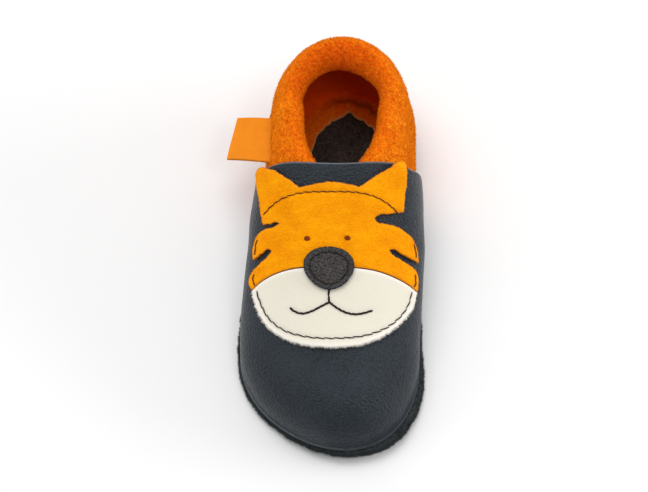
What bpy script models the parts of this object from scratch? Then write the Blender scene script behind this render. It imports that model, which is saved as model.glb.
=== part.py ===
"""Baby crawling shoe, right foot: suede sole, leather vamp, gathered suede heel, sewn-on tiger face.

Metres, +Z up. The toe points to -Y, the big-toe side is +X and the floor is z = 0.
"""

import math
from collections import namedtuple

import bpy
import bmesh
import numpy as np
from mathutils import Vector
from mathutils.geometry import delaunay_2d_cdt

MM = 0.001

# Driving sizes of the shoe
SOLE_LENGTH = 144 * MM
BALL_WIDTH = 64 * MM
TOE_ROUND = 34 * MM
HEEL_ROUND = 26 * MM
GAP = 0.3 * MM

# Steps for measuring along curves
FINE_STEPS = 400
TURN_STEP = 0.01
PROBE = 0.2 * MM
LEAST_WIDTH = 0.003 * MM
WELD = 1e-5
SHARP_ANGLE = math.radians(40)

# Sole and insole
SOLE_THICKNESS = 2.0 * MM
RIM_HEIGHT = 3.8 * MM
TOE_SPRING = 2.5 * MM
SPRING_LENGTH = 26 * MM
INSOLE_THICKNESS = 1.5 * MM
INSOLE_INSET = 5.0 * MM
SOLE_COUNT = 72

# Vamp
VAMP_THICKNESS = 1.4 * MM
VAMP_INSET = 1.3 * MM
SEAM_HEIGHT = RIM_HEIGHT + GAP
TOE_RISE = 19 * MM
TOE_LEAN = 1.6 * MM
LEAN_LENGTH = 45 * MM
SWELL_TURN = 0.30
SWELL_END = 84 * MM
SWELL_FADE = 14 * MM
THROAT_ALONG = 90.3 * MM
THROAT_SWEEP = 2 * MM
THROAT_SHARE = 0.86
WING_FOOT = 96 * MM
WING_BEND = 16
VAMP_COLUMNS = 46
VAMP_ROWS = 18

# Heel quarter
SUEDE_THICKNESS = 1.5 * MM
COLLAR_THICKNESS = 3.4 * MM
QUARTER_FRONT = 83 * MM
ALLOWANCE = 7.5 * MM
FOOT_ROUND = 2.2 * MM
QUARTER_COLUMNS = 44
FOOT_STEPS = 3
WALL_STEPS = 4
BEND_STEPS = 6
LIP_STEPS = 5

# Sewn-on face
MASK_THICKNESS = 1.3 * MM
MUZZLE_THICKNESS = 1.0 * MM
NOSE_THICKNESS = 1.2 * MM
NOSE_HALF_WIDTH = 8.2 * MM
NOSE_MIDDLE = -0.5 * MM
NOSE_TOP = 28.9 * MM
NOSE_BOTTOM = 43.5 * MM
NOSE_TAPER = 0.34
NOSE_COUNT = 20
FACE_OFFSET = -2.6 * MM
FACE_LEAN = 0.085
FACE_SPACING = 3.4 * MM
EDGE_SPACING = 1.4 * MM

# Side label
LABEL_WIDTH = 17 * MM
LABEL_LENGTH = 13.1 * MM
LABEL_THICKNESS = 1.1 * MM
LABEL_ALONG = 109 * MM
LABEL_HEIGHT = 32 * MM
LABEL_DROOP = 2.0 * MM
LABEL_SKEW = 3.0 * MM
LABEL_FOLD = 0.5
FOLD_POWER = 8
LABEL_CELLS = 6

# Plan of the last: along is a share of the sole length from the toe, the others are shares of the ball width
PlanRow = namedtuple("PlanRow", "along centre half_width")
PLAN = (
    PlanRow(along=0.00, centre=0.040, half_width=0.485),
    PlanRow(along=0.12, centre=-0.030, half_width=0.498),
    PlanRow(along=0.25, centre=-0.072, half_width=0.504),
    PlanRow(along=0.45, centre=-0.062, half_width=0.482),
    PlanRow(along=0.63, centre=-0.030, half_width=0.440),
    PlanRow(along=0.80, centre=-0.022, half_width=0.397),
    PlanRow(along=1.00, centre=-0.006, half_width=0.384),
)

# Sections of the vamp: height of the ridge, how square the arch is (2 is an ellipse), swell of the sides
VampRow = namedtuple("VampRow", "along ridge squareness swell")
VAMP = (
    VampRow(along=0.00, ridge=25.0 * MM, squareness=2.1, swell=0.4 * MM),
    VampRow(along=0.14, ridge=26.5 * MM, squareness=2.3, swell=0.6 * MM),
    VampRow(along=0.28, ridge=31.0 * MM, squareness=2.6, swell=1.4 * MM),
    VampRow(along=0.46, ridge=39.5 * MM, squareness=3.2, swell=2.7 * MM),
    VampRow(along=0.63, ridge=50.0 * MM, squareness=4.0, swell=3.4 * MM),
    VampRow(along=0.72, ridge=54.5 * MM, squareness=4.2, swell=3.4 * MM),
)

# Sections of the heel quarter from the heel (0) to a front edge (1): height of the collar's crest, run and
# rise of the bend up to it, run and drop of the lip behind it, inset of the wall's foot, swell of the wall
QuarterRow = namedtuple("QuarterRow", "around crest run rise lip_run lip_drop foot swell")
HALF_QUARTER = tuple(QuarterRow(row[0], *(size * MM for size in row[1:])) for row in (
    QuarterRow(around=0.00, crest=54.5, run=8.0, rise=20, lip_run=5.6, lip_drop=7.5, foot=0.6, swell=2.4),
    QuarterRow(around=0.35, crest=53.0, run=7.0, rise=20, lip_run=5.0, lip_drop=7.0, foot=0.8, swell=2.4),
    QuarterRow(around=0.65, crest=50.0, run=6.6, rise=21, lip_run=4.4, lip_drop=6.5, foot=1.4, swell=2.4),
    QuarterRow(around=0.80, crest=47.5, run=9.6, rise=23, lip_run=4.4, lip_drop=6.0, foot=2.2, swell=2.0),
    QuarterRow(around=0.90, crest=46.8, run=15.2, rise=24, lip_run=4.6, lip_drop=6.0, foot=3.0, swell=1.0),
    QuarterRow(around=1.00, crest=43.0, run=17.0, rise=24, lip_run=4.6, lip_drop=5.5, foot=4.0, swell=0.6),
))
QUARTER = tuple(row._replace(around=-row.around) for row in HALF_QUARTER[:0:-1]) + HALF_QUARTER

# Rings of the sole from its underside over the rim to its floor: inset from the plan, height over the floor
RingRow = namedtuple("RingRow", "inset height")
SOLE_RINGS = (
    RingRow(inset=3.0 * MM, height=0.0),
    RingRow(inset=1.0 * MM, height=0.4 * MM),
    RingRow(inset=0.0, height=1.5 * MM),
    RingRow(inset=0.0, height=2.8 * MM),
    RingRow(inset=0.8 * MM, height=RIM_HEIGHT),
    RingRow(inset=3.4 * MM, height=RIM_HEIGHT),
    RingRow(inset=4.4 * MM, height=SOLE_THICKNESS),
)

# Half outlines of the face: across from its middle line and down from the throat edge, both over the leather
FaceRow = namedtuple("FaceRow", "across down sharp")
EAR = (
    FaceRow(across=0.0 * MM, down=6.0 * MM, sharp=False),
    FaceRow(across=10.3 * MM, down=7.8 * MM, sharp=True),
    FaceRow(across=15.0 * MM, down=4.1 * MM, sharp=False),
    FaceRow(across=20.4 * MM, down=0.1 * MM, sharp=False),
    FaceRow(across=26.5 * MM, down=-2.6 * MM, sharp=True),
)
OUTER_CHEEK = (
    FaceRow(across=27.3 * MM, down=3.0 * MM, sharp=False),
    FaceRow(across=26.0 * MM, down=10.9 * MM, sharp=False),
    FaceRow(across=23.9 * MM, down=18.3 * MM, sharp=True),
    FaceRow(across=18.2 * MM, down=18.9 * MM, sharp=False),
    FaceRow(across=17.3 * MM, down=19.5 * MM, sharp=False),
    FaceRow(across=18.3 * MM, down=20.1 * MM, sharp=False),
    FaceRow(across=24.4 * MM, down=20.5 * MM, sharp=False),
    FaceRow(across=27.4 * MM, down=22.0 * MM, sharp=False),
    FaceRow(across=28.9 * MM, down=26.0 * MM, sharp=False),
    FaceRow(across=28.4 * MM, down=29.8 * MM, sharp=True),
    FaceRow(across=24.2 * MM, down=28.5 * MM, sharp=False),
    FaceRow(across=21.6 * MM, down=27.8 * MM, sharp=False),
    FaceRow(across=20.4 * MM, down=28.6 * MM, sharp=False),
    FaceRow(across=21.2 * MM, down=29.8 * MM, sharp=False),
    FaceRow(across=26.6 * MM, down=32.9 * MM, sharp=False),
    FaceRow(across=30.4 * MM, down=35.4 * MM, sharp=False),
    FaceRow(across=29.1 * MM, down=40.3 * MM, sharp=True),
)
INNER_CHEEK = (
    FaceRow(across=26.9 * MM, down=3.0 * MM, sharp=False),
    FaceRow(across=26.6 * MM, down=9.0 * MM, sharp=False),
    FaceRow(across=26.0 * MM, down=14.1 * MM, sharp=True),
    FaceRow(across=19.7 * MM, down=16.1 * MM, sharp=False),
    FaceRow(across=16.7 * MM, down=16.9 * MM, sharp=False),
    FaceRow(across=15.5 * MM, down=18.2 * MM, sharp=False),
    FaceRow(across=16.4 * MM, down=19.5 * MM, sharp=False),
    FaceRow(across=23.4 * MM, down=19.9 * MM, sharp=False),
    FaceRow(across=28.6 * MM, down=21.4 * MM, sharp=False),
    FaceRow(across=32.5 * MM, down=25.0 * MM, sharp=False),
    FaceRow(across=33.4 * MM, down=29.2 * MM, sharp=True),
    FaceRow(across=26.4 * MM, down=28.9 * MM, sharp=False),
    FaceRow(across=21.9 * MM, down=27.7 * MM, sharp=False),
    FaceRow(across=20.5 * MM, down=28.5 * MM, sharp=False),
    FaceRow(across=21.5 * MM, down=29.8 * MM, sharp=False),
    FaceRow(across=28.8 * MM, down=31.7 * MM, sharp=False),
    FaceRow(across=32.8 * MM, down=34.4 * MM, sharp=False),
    FaceRow(across=32.6 * MM, down=39.4 * MM, sharp=True),
)
OUTER_HEM = (
    FaceRow(across=0.0 * MM, down=35.6 * MM, sharp=False),
    FaceRow(across=16.0 * MM, down=36.2 * MM, sharp=False),
    FaceRow(across=24.0 * MM, down=38.2 * MM, sharp=False),
    FaceRow(across=29.1 * MM, down=40.3 * MM, sharp=True),
)
INNER_HEM = (
    FaceRow(across=0.0 * MM, down=35.6 * MM, sharp=False),
    FaceRow(across=16.0 * MM, down=36.2 * MM, sharp=False),
    FaceRow(across=24.0 * MM, down=37.6 * MM, sharp=False),
    FaceRow(across=32.6 * MM, down=39.4 * MM, sharp=True),
)
OUTER_CHIN = (
    FaceRow(across=0.0 * MM, down=63.3 * MM, sharp=False),
    FaceRow(across=11.2 * MM, down=62.2 * MM, sharp=False),
    FaceRow(across=16.4 * MM, down=60.2 * MM, sharp=False),
    FaceRow(across=23.8 * MM, down=53.4 * MM, sharp=False),
    FaceRow(across=27.8 * MM, down=44.6 * MM, sharp=False),
    FaceRow(across=29.1 * MM, down=40.3 * MM, sharp=True),
)
INNER_CHIN = (
    FaceRow(across=0.0 * MM, down=63.3 * MM, sharp=False),
    FaceRow(across=9.6 * MM, down=61.8 * MM, sharp=False),
    FaceRow(across=15.6 * MM, down=58.9 * MM, sharp=False),
    FaceRow(across=26.1 * MM, down=50.2 * MM, sharp=False),
    FaceRow(across=30.0 * MM, down=45.3 * MM, sharp=False),
    FaceRow(across=32.6 * MM, down=39.4 * MM, sharp=True),
)

# Leathers: colour, roughness
Leather = namedtuple("Leather", "colour roughness")
DARK_SUEDE = Leather(colour=(0.028, 0.032, 0.035, 1.0), roughness=0.95)
INSOLE_SUEDE = Leather(colour=(0.020, 0.017, 0.014, 1.0), roughness=0.95)
NAVY_LEATHER = Leather(colour=(0.026, 0.034, 0.042, 1.0), roughness=0.45)
ORANGE_SUEDE = Leather(colour=(0.68, 0.13, 0.006, 1.0), roughness=0.9)
YELLOW_NUBUCK = Leather(colour=(0.88, 0.28, 0.006, 1.0), roughness=0.8)
NOSE_LEATHER = Leather(colour=(0.045, 0.045, 0.045, 1.0), roughness=0.7)
CREAM_LEATHER = Leather(colour=(0.86, 0.82, 0.70, 1.0), roughness=0.6)
LABEL_RIBBON = Leather(colour=(0.90, 0.26, 0.01, 1.0), roughness=0.8)


def smooth(rows, column, at):
    """A table's column as a curve over its first column: cubic spans, with slopes from the rows beside."""
    knots = np.array([row[0] for row in rows])
    values = np.array([getattr(row, column) for row in rows])
    slopes = np.gradient(values, knots)
    at = np.clip(at, knots[0], knots[-1])
    span = np.clip(np.searchsorted(knots, at, side="right") - 1, 0, len(knots) - 2)
    width = knots[span + 1] - knots[span]
    t = (at - knots[span]) / width
    first = (1 + 2 * t) * (1 - t) ** 2 * values[span] + t * (1 - t) ** 2 * width * slopes[span]
    second = t**2 * (3 - 2 * t) * values[span + 1] - t**2 * (1 - t) * width * slopes[span + 1]
    return first + second


def rounding(share):
    """Quarter of a circle: 0 at share 0, 1 from share 1 on."""
    share = np.clip(share, 0, 1)
    return np.sqrt(share * (2 - share))


def half_width(along, inset=0.0):
    """Half width of the last's plan, inset all round, with a round toe and a round heel."""
    full = smooth(PLAN, "half_width", along / SOLE_LENGTH) * BALL_WIDTH - inset
    toe = rounding((along - inset) / TOE_ROUND)
    heel = rounding((SOLE_LENGTH - inset - along) / HEEL_ROUND)
    return full * toe * heel


def centre(along):
    """Where the last's own curve stands across the shoe."""
    return smooth(PLAN, "centre", along / SOLE_LENGTH) * BALL_WIDTH


def plan(turn, inset=0.0):
    """Outline of the last: turn 0 is the toe, pi/2 the inner side and pi the heel. Gives across and along."""
    along = inset + (SOLE_LENGTH - 2 * inset) * (1 - np.cos(turn)) / 2
    across = centre(along) + np.sign(np.sin(turn)) * half_width(along, inset)
    return across, along


def turn_at(along, inset=0.0):
    """The turn on the inner side at a distance from the toe."""
    return math.acos(1 - 2 * (along - inset) / (SOLE_LENGTH - 2 * inset))


def plan_inward(turn):
    """Unit vectors that point in from the outline, square to it."""
    ahead, behind = plan(turn + TURN_STEP), plan(turn - TURN_STEP)
    run, rise = ahead[0] - behind[0], ahead[1] - behind[1]
    size = np.hypot(run, rise)
    return -rise / size, run / size


def spring(along):
    """Lift of the toe over the floor."""
    return TOE_SPRING * np.clip(1 - along / SPRING_LENGTH, 0, 1) ** 2


def points(across, along, height):
    """World points from shoe measures, with the middle of the sole's length at the origin."""
    return np.stack([across, along - SOLE_LENGTH / 2, height], axis=-1)


def vamp_section(share, along):
    """Point of the vamp's arch at a share of its half width (-1 to 1): across and height.

    The arch is a rounded square curve between the seam and the ridge, with a slight swell low on its sides,
    more on the inner side than on the outer one. At the toe it leans to the outer side, so that more of the
    sole's edge shows on the inner side.
    """
    square = smooth(VAMP, "squareness", along / SOLE_LENGTH)
    seam = SEAM_HEIGHT + spring(along)
    ridge = smooth(VAMP, "ridge", along / SOLE_LENGTH) - SEAM_HEIGHT
    ridge = ridge * rounding((along - VAMP_INSET) / TOE_RISE)
    arch = np.clip(1 - np.abs(share) ** square, 0, 1) ** (1 / square)
    height = seam + ridge * arch
    swell = smooth(VAMP, "swell", along / SOLE_LENGTH) * np.sin(np.pi * arch)
    uneven = np.clip((SWELL_END - along) / SWELL_FADE, 0, 1)
    swell = swell * (1 + SWELL_TURN * np.sign(share) * uneven**2 * (3 - 2 * uneven))
    lean = TOE_LEAN * np.clip(1 - along / LEAN_LENGTH, 0, 1)
    across = centre(along) - lean + share * (half_width(along, VAMP_INSET) + swell)
    return across, height


def normals(grid):
    """Unit normals of a grid of points, from its two directions."""
    size = np.cross(np.gradient(grid, axis=1), np.gradient(grid, axis=0))
    return size / np.linalg.norm(size, axis=-1, keepdims=True)


def even_steps(path, count):
    """Shares along a path of points that cut it into equal lengths."""
    steps = np.linalg.norm(np.diff(path, axis=0), axis=1)
    length = np.concatenate([[0], np.cumsum(steps)])
    return np.interp(np.linspace(0, length[-1], count), length, np.linspace(0, 1, len(path)))


def vamp_plan(turn, share):
    """Plan of a line of the vamp from the seam, at one turn of the outline, to the throat edge.

    Share runs 0 to 1. The lines at the wings' rear edges bend a little, to end level with the throat edge.
    Gives across and along.
    """
    place = turn / turn_at(WING_FOOT, VAMP_INSET)
    foot_across, foot_along = plan(turn, VAMP_INSET)
    throat_along = THROAT_ALONG + THROAT_SWEEP * place**2
    throat_across = centre(throat_along) + place * THROAT_SHARE * half_width(throat_along, VAMP_INSET)
    across = foot_across + (throat_across - foot_across) * share
    bent = share + place**WING_BEND * share * (1 - share)
    return across, foot_along + (throat_along - foot_along) * bent


def vamp_over(across, along):
    """World points of the vamp over places of its plan."""
    width = np.maximum(half_width(along, VAMP_INSET), LEAST_WIDTH)
    across, height = vamp_section(np.clip((across - centre(along)) / width, -1, 1), along)
    return points(across, along, height)


def vamp_sheets():
    """Outer and inner faces of the vamp's wall.

    The thickness stands square to the grid in its lower half, and to small steps over the plan above that.
    """
    limit = turn_at(WING_FOOT, VAMP_INSET)
    fine = np.linspace(0, 1, FINE_STEPS) ** 3
    lines = []
    for turn in np.linspace(-limit, limit, VAMP_COLUMNS):
        cuts = even_steps(vamp_over(*vamp_plan(turn, fine)), VAMP_ROWS)
        lines.append(vamp_plan(turn, np.interp(cuts, np.linspace(0, 1, len(fine)), fine)))
    across, along = np.stack(lines, axis=-1)
    outer = vamp_over(across, along)
    sideways = vamp_over(across + PROBE, along) - vamp_over(across - PROBE, along)
    backways = vamp_over(across, along + PROBE) - vamp_over(across, along - PROBE)
    square = np.cross(sideways, backways)
    square = square / np.linalg.norm(square, axis=-1, keepdims=True)
    upper = np.arange(VAMP_ROWS)[:, None, None] > VAMP_ROWS // 2
    inner = outer - np.where(upper, square, normals(outer)) * VAMP_THICKNESS
    inner[0, :, 2] = outer[0, :, 2]
    return outer, inner


def quarter_turn(around):
    """Turn of the outline at a place round the heel, -1 and 1 at the two front edges."""
    return math.pi + around * (math.pi - turn_at(QUARTER_FRONT))


def quarter_wall(around, height):
    """How far in from the outline the heel's outer face stands at a height below its crest."""
    crest, rise = smooth(QUARTER, "crest", around), smooth(QUARTER, "rise", around)
    start = crest - rise
    low = np.clip((height - SEAM_HEIGHT) / (start - SEAM_HEIGHT), 0, 1)
    bend = np.arcsin(np.clip((height - start) / rise, 0, 1))
    foot = smooth(QUARTER, "foot", around) - smooth(QUARTER, "swell", around) * np.sin(np.pi * low)
    return foot + smooth(QUARTER, "run", around) * (1 - np.cos(bend))


def quarter_point(around, inward, height):
    """World point a distance in from the outline, at a place round the heel."""
    turn = quarter_turn(around)
    across, along = plan(turn)
    in_across, in_along = plan_inward(turn)
    return points(across + in_across * inward, along + in_along * inward, height + 0 * across)


def quarter_profile(around):
    """Outer face of the heel from the allowance's edge, up the wall, over the crest and down to the lip.

    Gives inward distances, heights and the wall's thickness, one row for each step of the profile.
    """
    crest, rise = smooth(QUARTER, "crest", around), smooth(QUARTER, "rise", around)
    run, foot = smooth(QUARTER, "run", around), smooth(QUARTER, "foot", around)
    lip_run, lip_drop = smooth(QUARTER, "lip_run", around), smooth(QUARTER, "lip_drop", around)
    rows = []
    for inward in (ALLOWANCE, ALLOWANCE / 2 + FOOT_ROUND / 2):
        rows.append((foot + inward, SEAM_HEIGHT + 0 * foot, SUEDE_THICKNESS))
    for bend in np.linspace(0, math.pi / 2, FOOT_STEPS, endpoint=False):
        low = SEAM_HEIGHT + FOOT_ROUND * (1 - math.cos(bend))
        rows.append((foot + FOOT_ROUND * (1 - math.sin(bend)), low + 0 * foot, SUEDE_THICKNESS))
    for share in np.linspace(0, 1, WALL_STEPS, endpoint=False):
        low = SEAM_HEIGHT + FOOT_ROUND
        height = low + (crest - rise - low) * share
        rows.append((quarter_wall(around, height), height, SUEDE_THICKNESS))
    for bend in np.linspace(0, math.pi / 2, BEND_STEPS, endpoint=False):
        height = crest - rise + rise * math.sin(bend)
        thickness = SUEDE_THICKNESS + (COLLAR_THICKNESS - SUEDE_THICKNESS) * math.sin(bend) ** 2
        rows.append((foot + run * (1 - math.cos(bend)), height, thickness))
    for bend in np.linspace(0, math.pi / 2, LIP_STEPS):
        inward = foot + run + lip_run * math.sin(bend)
        rows.append((inward, crest - lip_drop * (1 - math.cos(bend)), COLLAR_THICKNESS))
    return rows


def quarter_sheets():
    """Outer and inner faces of the heel quarter's wall."""
    around = np.linspace(-1, 1, QUARTER_COLUMNS)
    rows = quarter_profile(around)
    outer = np.stack([quarter_point(around, inward, height) for inward, height, _ in rows])
    thickness = np.array([row[2] for row in rows])
    inner = outer - normals(outer) * thickness[:, None, None]
    return outer, inner


def over_vamp(across, down, lift):
    """World points on the vamp: across from the ridge and down from the throat, measured over the leather.

    The ridge, then the arch at that place, are walked in small steps. Lift stands square to the surface.
    """
    ridge_along = np.linspace(THROAT_ALONG + 4 * THROAT_SWEEP, VAMP_INSET + TOE_RISE / 2, FINE_STEPS)
    ridge_across, ridge_height = vamp_section(np.zeros(FINE_STEPS), ridge_along)
    ridge = points(ridge_across, ridge_along, ridge_height)
    walked = np.concatenate([[0], np.cumsum(np.linalg.norm(np.diff(ridge, axis=0), axis=1))])
    walked = walked - np.interp(-THROAT_ALONG, -ridge_along, walked)

    def surface(across, down):
        along = np.interp(down, walked, ridge_along)[:, None]
        shares = np.sin(np.linspace(0, math.pi / 2, FINE_STEPS)) * np.sign(across)[:, None]
        arch_across, arch_height = vamp_section(shares, along)
        steps = np.hypot(np.diff(arch_across, axis=1), np.diff(arch_height, axis=1))
        length = np.concatenate([np.zeros((len(across), 1)), np.cumsum(steps, axis=1)], axis=1)
        place = np.array([np.interp(a, s, shares[i]) for i, (a, s) in enumerate(zip(np.abs(across), length))])
        x, z = vamp_section(place, along[:, 0])
        return points(x, along[:, 0], z)

    sideways = surface(across + PROBE, down) - surface(across - PROBE, down)
    downways = surface(across, down + PROBE) - surface(across, down - PROBE)
    square = np.cross(downways, sideways)
    return surface(across, down) + lift * square / np.linalg.norm(square, axis=1, keepdims=True)


def drawn(rows):
    """Points of a drawn line: smooth through the rows and turning only at the sharp ones, in even steps."""
    line = []
    corners = [i for i, row in enumerate(rows) if row.sharp or i in (0, len(rows) - 1)]
    for first, last in zip(corners[:-1], corners[1:]):
        knots = np.array([(row.across, row.down) for row in rows[first:last + 1]])
        steps = np.linalg.norm(np.diff(knots, axis=0), axis=1)
        at = np.concatenate([[0], np.cumsum(steps)])
        spots = np.linspace(0, at[-1], max(2, round(at[-1] / EDGE_SPACING) + 1))
        table = [FaceRow(*pair) for pair in zip(at, knots[:, 0], knots[:, 1])]
        pairs = np.stack([smooth(table, "down", spots), smooth(table, "sharp", spots)], axis=1)
        line.extend(pairs[:-1])
    line.append(knots[-1])
    return np.array(line)


def both_sides(outer, inner):
    """Rows of a line from its outer end to its inner end, over the middle row that both sides share."""
    return tuple(row._replace(across=-row.across) for row in outer[:0:-1]) + inner


def inside(spots, outline):
    """Which spots lie in a closed outline, and well clear of its edge."""
    start, end = outline, np.roll(outline, -1, axis=0)
    edge = end - start
    offset = spots[:, None, :] - start[None]
    share = np.clip((offset * edge).sum(-1) / (edge**2).sum(-1), 0, 1)
    away = np.linalg.norm(offset - share[..., None] * edge, axis=-1).min(axis=1)
    above = (start[:, 1] > spots[:, None, 1]) != (end[:, 1] > spots[:, None, 1])
    rise = np.where(edge[:, 1] == 0, 1, edge[:, 1])
    crossing = start[:, 0] + edge[:, 0] * (spots[:, None, 1] - start[:, 1]) / rise
    odd = (above & (spots[:, None, 0] < crossing)).sum(axis=1) % 2 == 1
    return odd & (away > FACE_SPACING / 2)


def applique(name, outline, lift, thickness, leather):
    """A flat cut of leather laid over the vamp: triangles inside its outline at two heights, walled in."""
    outline = outline + np.stack([FACE_OFFSET + FACE_LEAN * outline[:, 1], 0 * outline[:, 1]], axis=1)
    low, high = outline.min(axis=0), outline.max(axis=0)
    lattice = np.meshgrid(np.arange(low[0], high[0], FACE_SPACING), np.arange(low[1], high[1], FACE_SPACING))
    lattice = np.stack([axis.ravel() for axis in lattice], axis=1)
    flat = np.concatenate([outline, lattice[inside(lattice, outline)]])
    rim = len(outline)
    edges = [(i, (i + 1) % rim) for i in range(rim)]
    cut = delaunay_2d_cdt([Vector(p / MM) for p in flat], edges, [], 1, WELD)
    flat = np.array([tuple(p) for p in cut[0]]) * MM
    top = over_vamp(flat[:, 0], flat[:, 1], lift + thickness)
    under = over_vamp(flat[:, 0], flat[:, 1], lift)
    count = len(flat)
    faces = [tuple(face) for face in cut[2]]
    faces += [tuple(i + count for i in reversed(face)) for face in cut[2]]
    sides = {pair for face in cut[2] for pair in zip(face, face[1:] + face[:1])}
    faces += [(b, a, a + count, b + count) for a, b in sorted(sides) if (b, a) not in sides]
    return add_solid(name, np.concatenate([top, under]), faces, leather)


def thick_sheet(name, outer, inner, leather):
    """A wall between two grids of points, closed along its four edges."""
    rows, columns = outer.shape[:2]
    index = np.arange(rows * columns).reshape(rows, columns)
    back = index + rows * columns
    quads = np.stack([index[:-1, :-1], index[:-1, 1:], index[1:, 1:], index[1:, :-1]], axis=-1).reshape(-1, 4)
    faces = [tuple(q) for q in quads]
    faces += [tuple(q) for q in quads[:, ::-1] + rows * columns]
    border = np.concatenate([index[0, :-1], index[:-1, -1], index[-1, :0:-1], index[:0:-1, 0]])
    behind = np.concatenate([back[0, :-1], back[:-1, -1], back[-1, :0:-1], back[:0:-1, 0]])
    for i in range(len(border)):
        j = (i + 1) % len(border)
        faces.append((border[j], border[i], behind[i], behind[j]))
    spots = np.concatenate([outer.reshape(-1, 3), inner.reshape(-1, 3)])
    return add_solid(name, spots, faces, leather)


def ringed_slab(name, rings, leather):
    """A slab from rings of the same count: walls between them, and rungs across the first and the last."""
    levels, count = rings.shape[:2]
    faces = []
    for level in range(levels - 1):
        for i in range(count):
            j = (i + 1) % count
            low, high = level * count, (level + 1) * count
            faces.append((low + i, low + j, high + j, high + i))
    for base, order in ((0, -1), ((levels - 1) * count, 1)):
        for i in range(count // 2):
            rung = [base + i, base + i + 1, base + (count - i - 1) % count, base + (count - i) % count]
            faces.append(tuple(dict.fromkeys(rung[::order])))
    return add_solid(name, rings.reshape(-1, 3), faces, leather)


def add_solid(name, spots, faces, leather):
    """A named object of one closed body with its own leather."""
    mesh = bpy.data.meshes.new(name)
    mesh.from_pydata([tuple(p) for p in spots], [], [tuple(int(i) for i in face) for face in faces])
    body = bmesh.new()
    body.from_mesh(mesh)
    loose = [vert for vert in body.verts if not vert.link_faces]
    bmesh.ops.delete(body, geom=loose, context="VERTS")
    bmesh.ops.recalc_face_normals(body, faces=body.faces)
    body.to_mesh(mesh)
    body.free()
    mesh.shade_smooth()
    mesh.set_sharp_from_angle(angle=SHARP_ANGLE)
    material = bpy.data.materials.new(name)
    material.use_nodes = True
    shader = material.node_tree.nodes["Principled BSDF"]
    shader.inputs["Base Color"].default_value = leather.colour
    shader.inputs["Roughness"].default_value = leather.roughness
    shader.inputs["Metallic"].default_value = 0.0
    mesh.materials.append(material)
    shape = bpy.data.objects.new(name, mesh)
    bpy.context.scene.collection.objects.link(shape)
    return shape


def build_sole():
    """Suede sole: a flat underside, a soft edge that turns up all round, and a shallow floor inside."""
    turns = np.linspace(0, 2 * math.pi, SOLE_COUNT, endpoint=False)
    rings = []
    for row in SOLE_RINGS:
        across, along = plan(turns, row.inset)
        rings.append(points(across, along, row.height + spring(along)))
    ringed_slab("sole", np.stack(rings), DARK_SUEDE)


def build_insole():
    """Suede floor of the shoe, just over the sole."""
    turns = np.linspace(0, 2 * math.pi, SOLE_COUNT, endpoint=False)
    across, along = plan(turns, INSOLE_INSET)
    low = SOLE_THICKNESS + GAP + spring(along)
    rings = [points(across, along, low), points(across, along, low + INSOLE_THICKNESS)]
    ringed_slab("insole", np.stack(rings), INSOLE_SUEDE)


def build_face():
    """Mask with ears and cut stripes, muzzle below it, and a nose over both."""
    hem, chin = drawn(both_sides(OUTER_HEM, INNER_HEM)), drawn(both_sides(OUTER_CHIN, INNER_CHIN))
    crown = drawn(both_sides(EAR + OUTER_CHEEK, EAR + INNER_CHEEK))
    mask = np.concatenate([crown, hem[-2:0:-1]])
    applique("tiger_mask", mask, GAP, MASK_THICKNESS, YELLOW_NUBUCK)
    muzzle = np.concatenate([hem, chin[-2:0:-1]]) + np.array([0, GAP])
    applique("muzzle", muzzle, GAP, MUZZLE_THICKNESS, CREAM_LEATHER)
    turns = np.linspace(0, 2 * math.pi, NOSE_COUNT, endpoint=False)
    drop = (1 - np.cos(turns)) / 2
    across = NOSE_MIDDLE + NOSE_HALF_WIDTH * np.sin(turns) * (1 + NOSE_TAPER * (0.5 - drop))
    nose = np.stack([across, NOSE_TOP + (NOSE_BOTTOM - NOSE_TOP) * drop], axis=1)
    applique("nose", nose, 2 * GAP + MASK_THICKNESS, NOSE_THICKNESS, NOSE_LEATHER)


def build_label():
    """Folded ribbon that stands out of the heel's outer side, drooping a little, with a rounded fold."""
    low, high = turn_at(LABEL_ALONG - LABEL_WIDTH / 2), turn_at(LABEL_ALONG + LABEL_WIDTH / 2)
    turns = np.linspace(low, high, LABEL_CELLS + 1)
    around = (math.pi - turns) / (math.pi - turn_at(QUARTER_FRONT))
    root = quarter_wall(around, LABEL_HEIGHT)
    sheets = []
    for side in (1, -1):
        rows = []
        for share in np.linspace(0, 1, LABEL_CELLS + 1):
            fold = LABEL_THICKNESS / 2 * (1 - LABEL_FOLD * share**FOLD_POWER)
            height = LABEL_HEIGHT - LABEL_DROOP * share**2 + side * fold
            reach = (LABEL_LENGTH + LABEL_SKEW * np.linspace(1, 0, LABEL_CELLS + 1)) * share
            rows.append(quarter_point(around, root - 2 * GAP - reach, height))
        sheets.append(np.stack(rows))
    thick_sheet("side_label", sheets[0], sheets[1], LABEL_RIBBON)


def main():
    for old in list(bpy.data.objects):
        bpy.data.objects.remove(old)
    build_sole()
    build_insole()
    thick_sheet("vamp", *vamp_sheets(), NAVY_LEATHER)
    thick_sheet("heel_quarter", *quarter_sheets(), ORANGE_SUEDE)
    build_face()
    build_label()


if __name__ == "__main__":
    main()
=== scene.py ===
"""Baby crawling shoe, right foot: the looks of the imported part, worked out in its own frame.

Metres, +Z up. The toe points to -Y, the big-toe side is +X and the floor is z = 0.
"""

import math
from collections import namedtuple

import bpy
import numpy as np
from mathutils import Matrix, Vector
from mathutils.geometry import delaunay_2d_cdt


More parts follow.
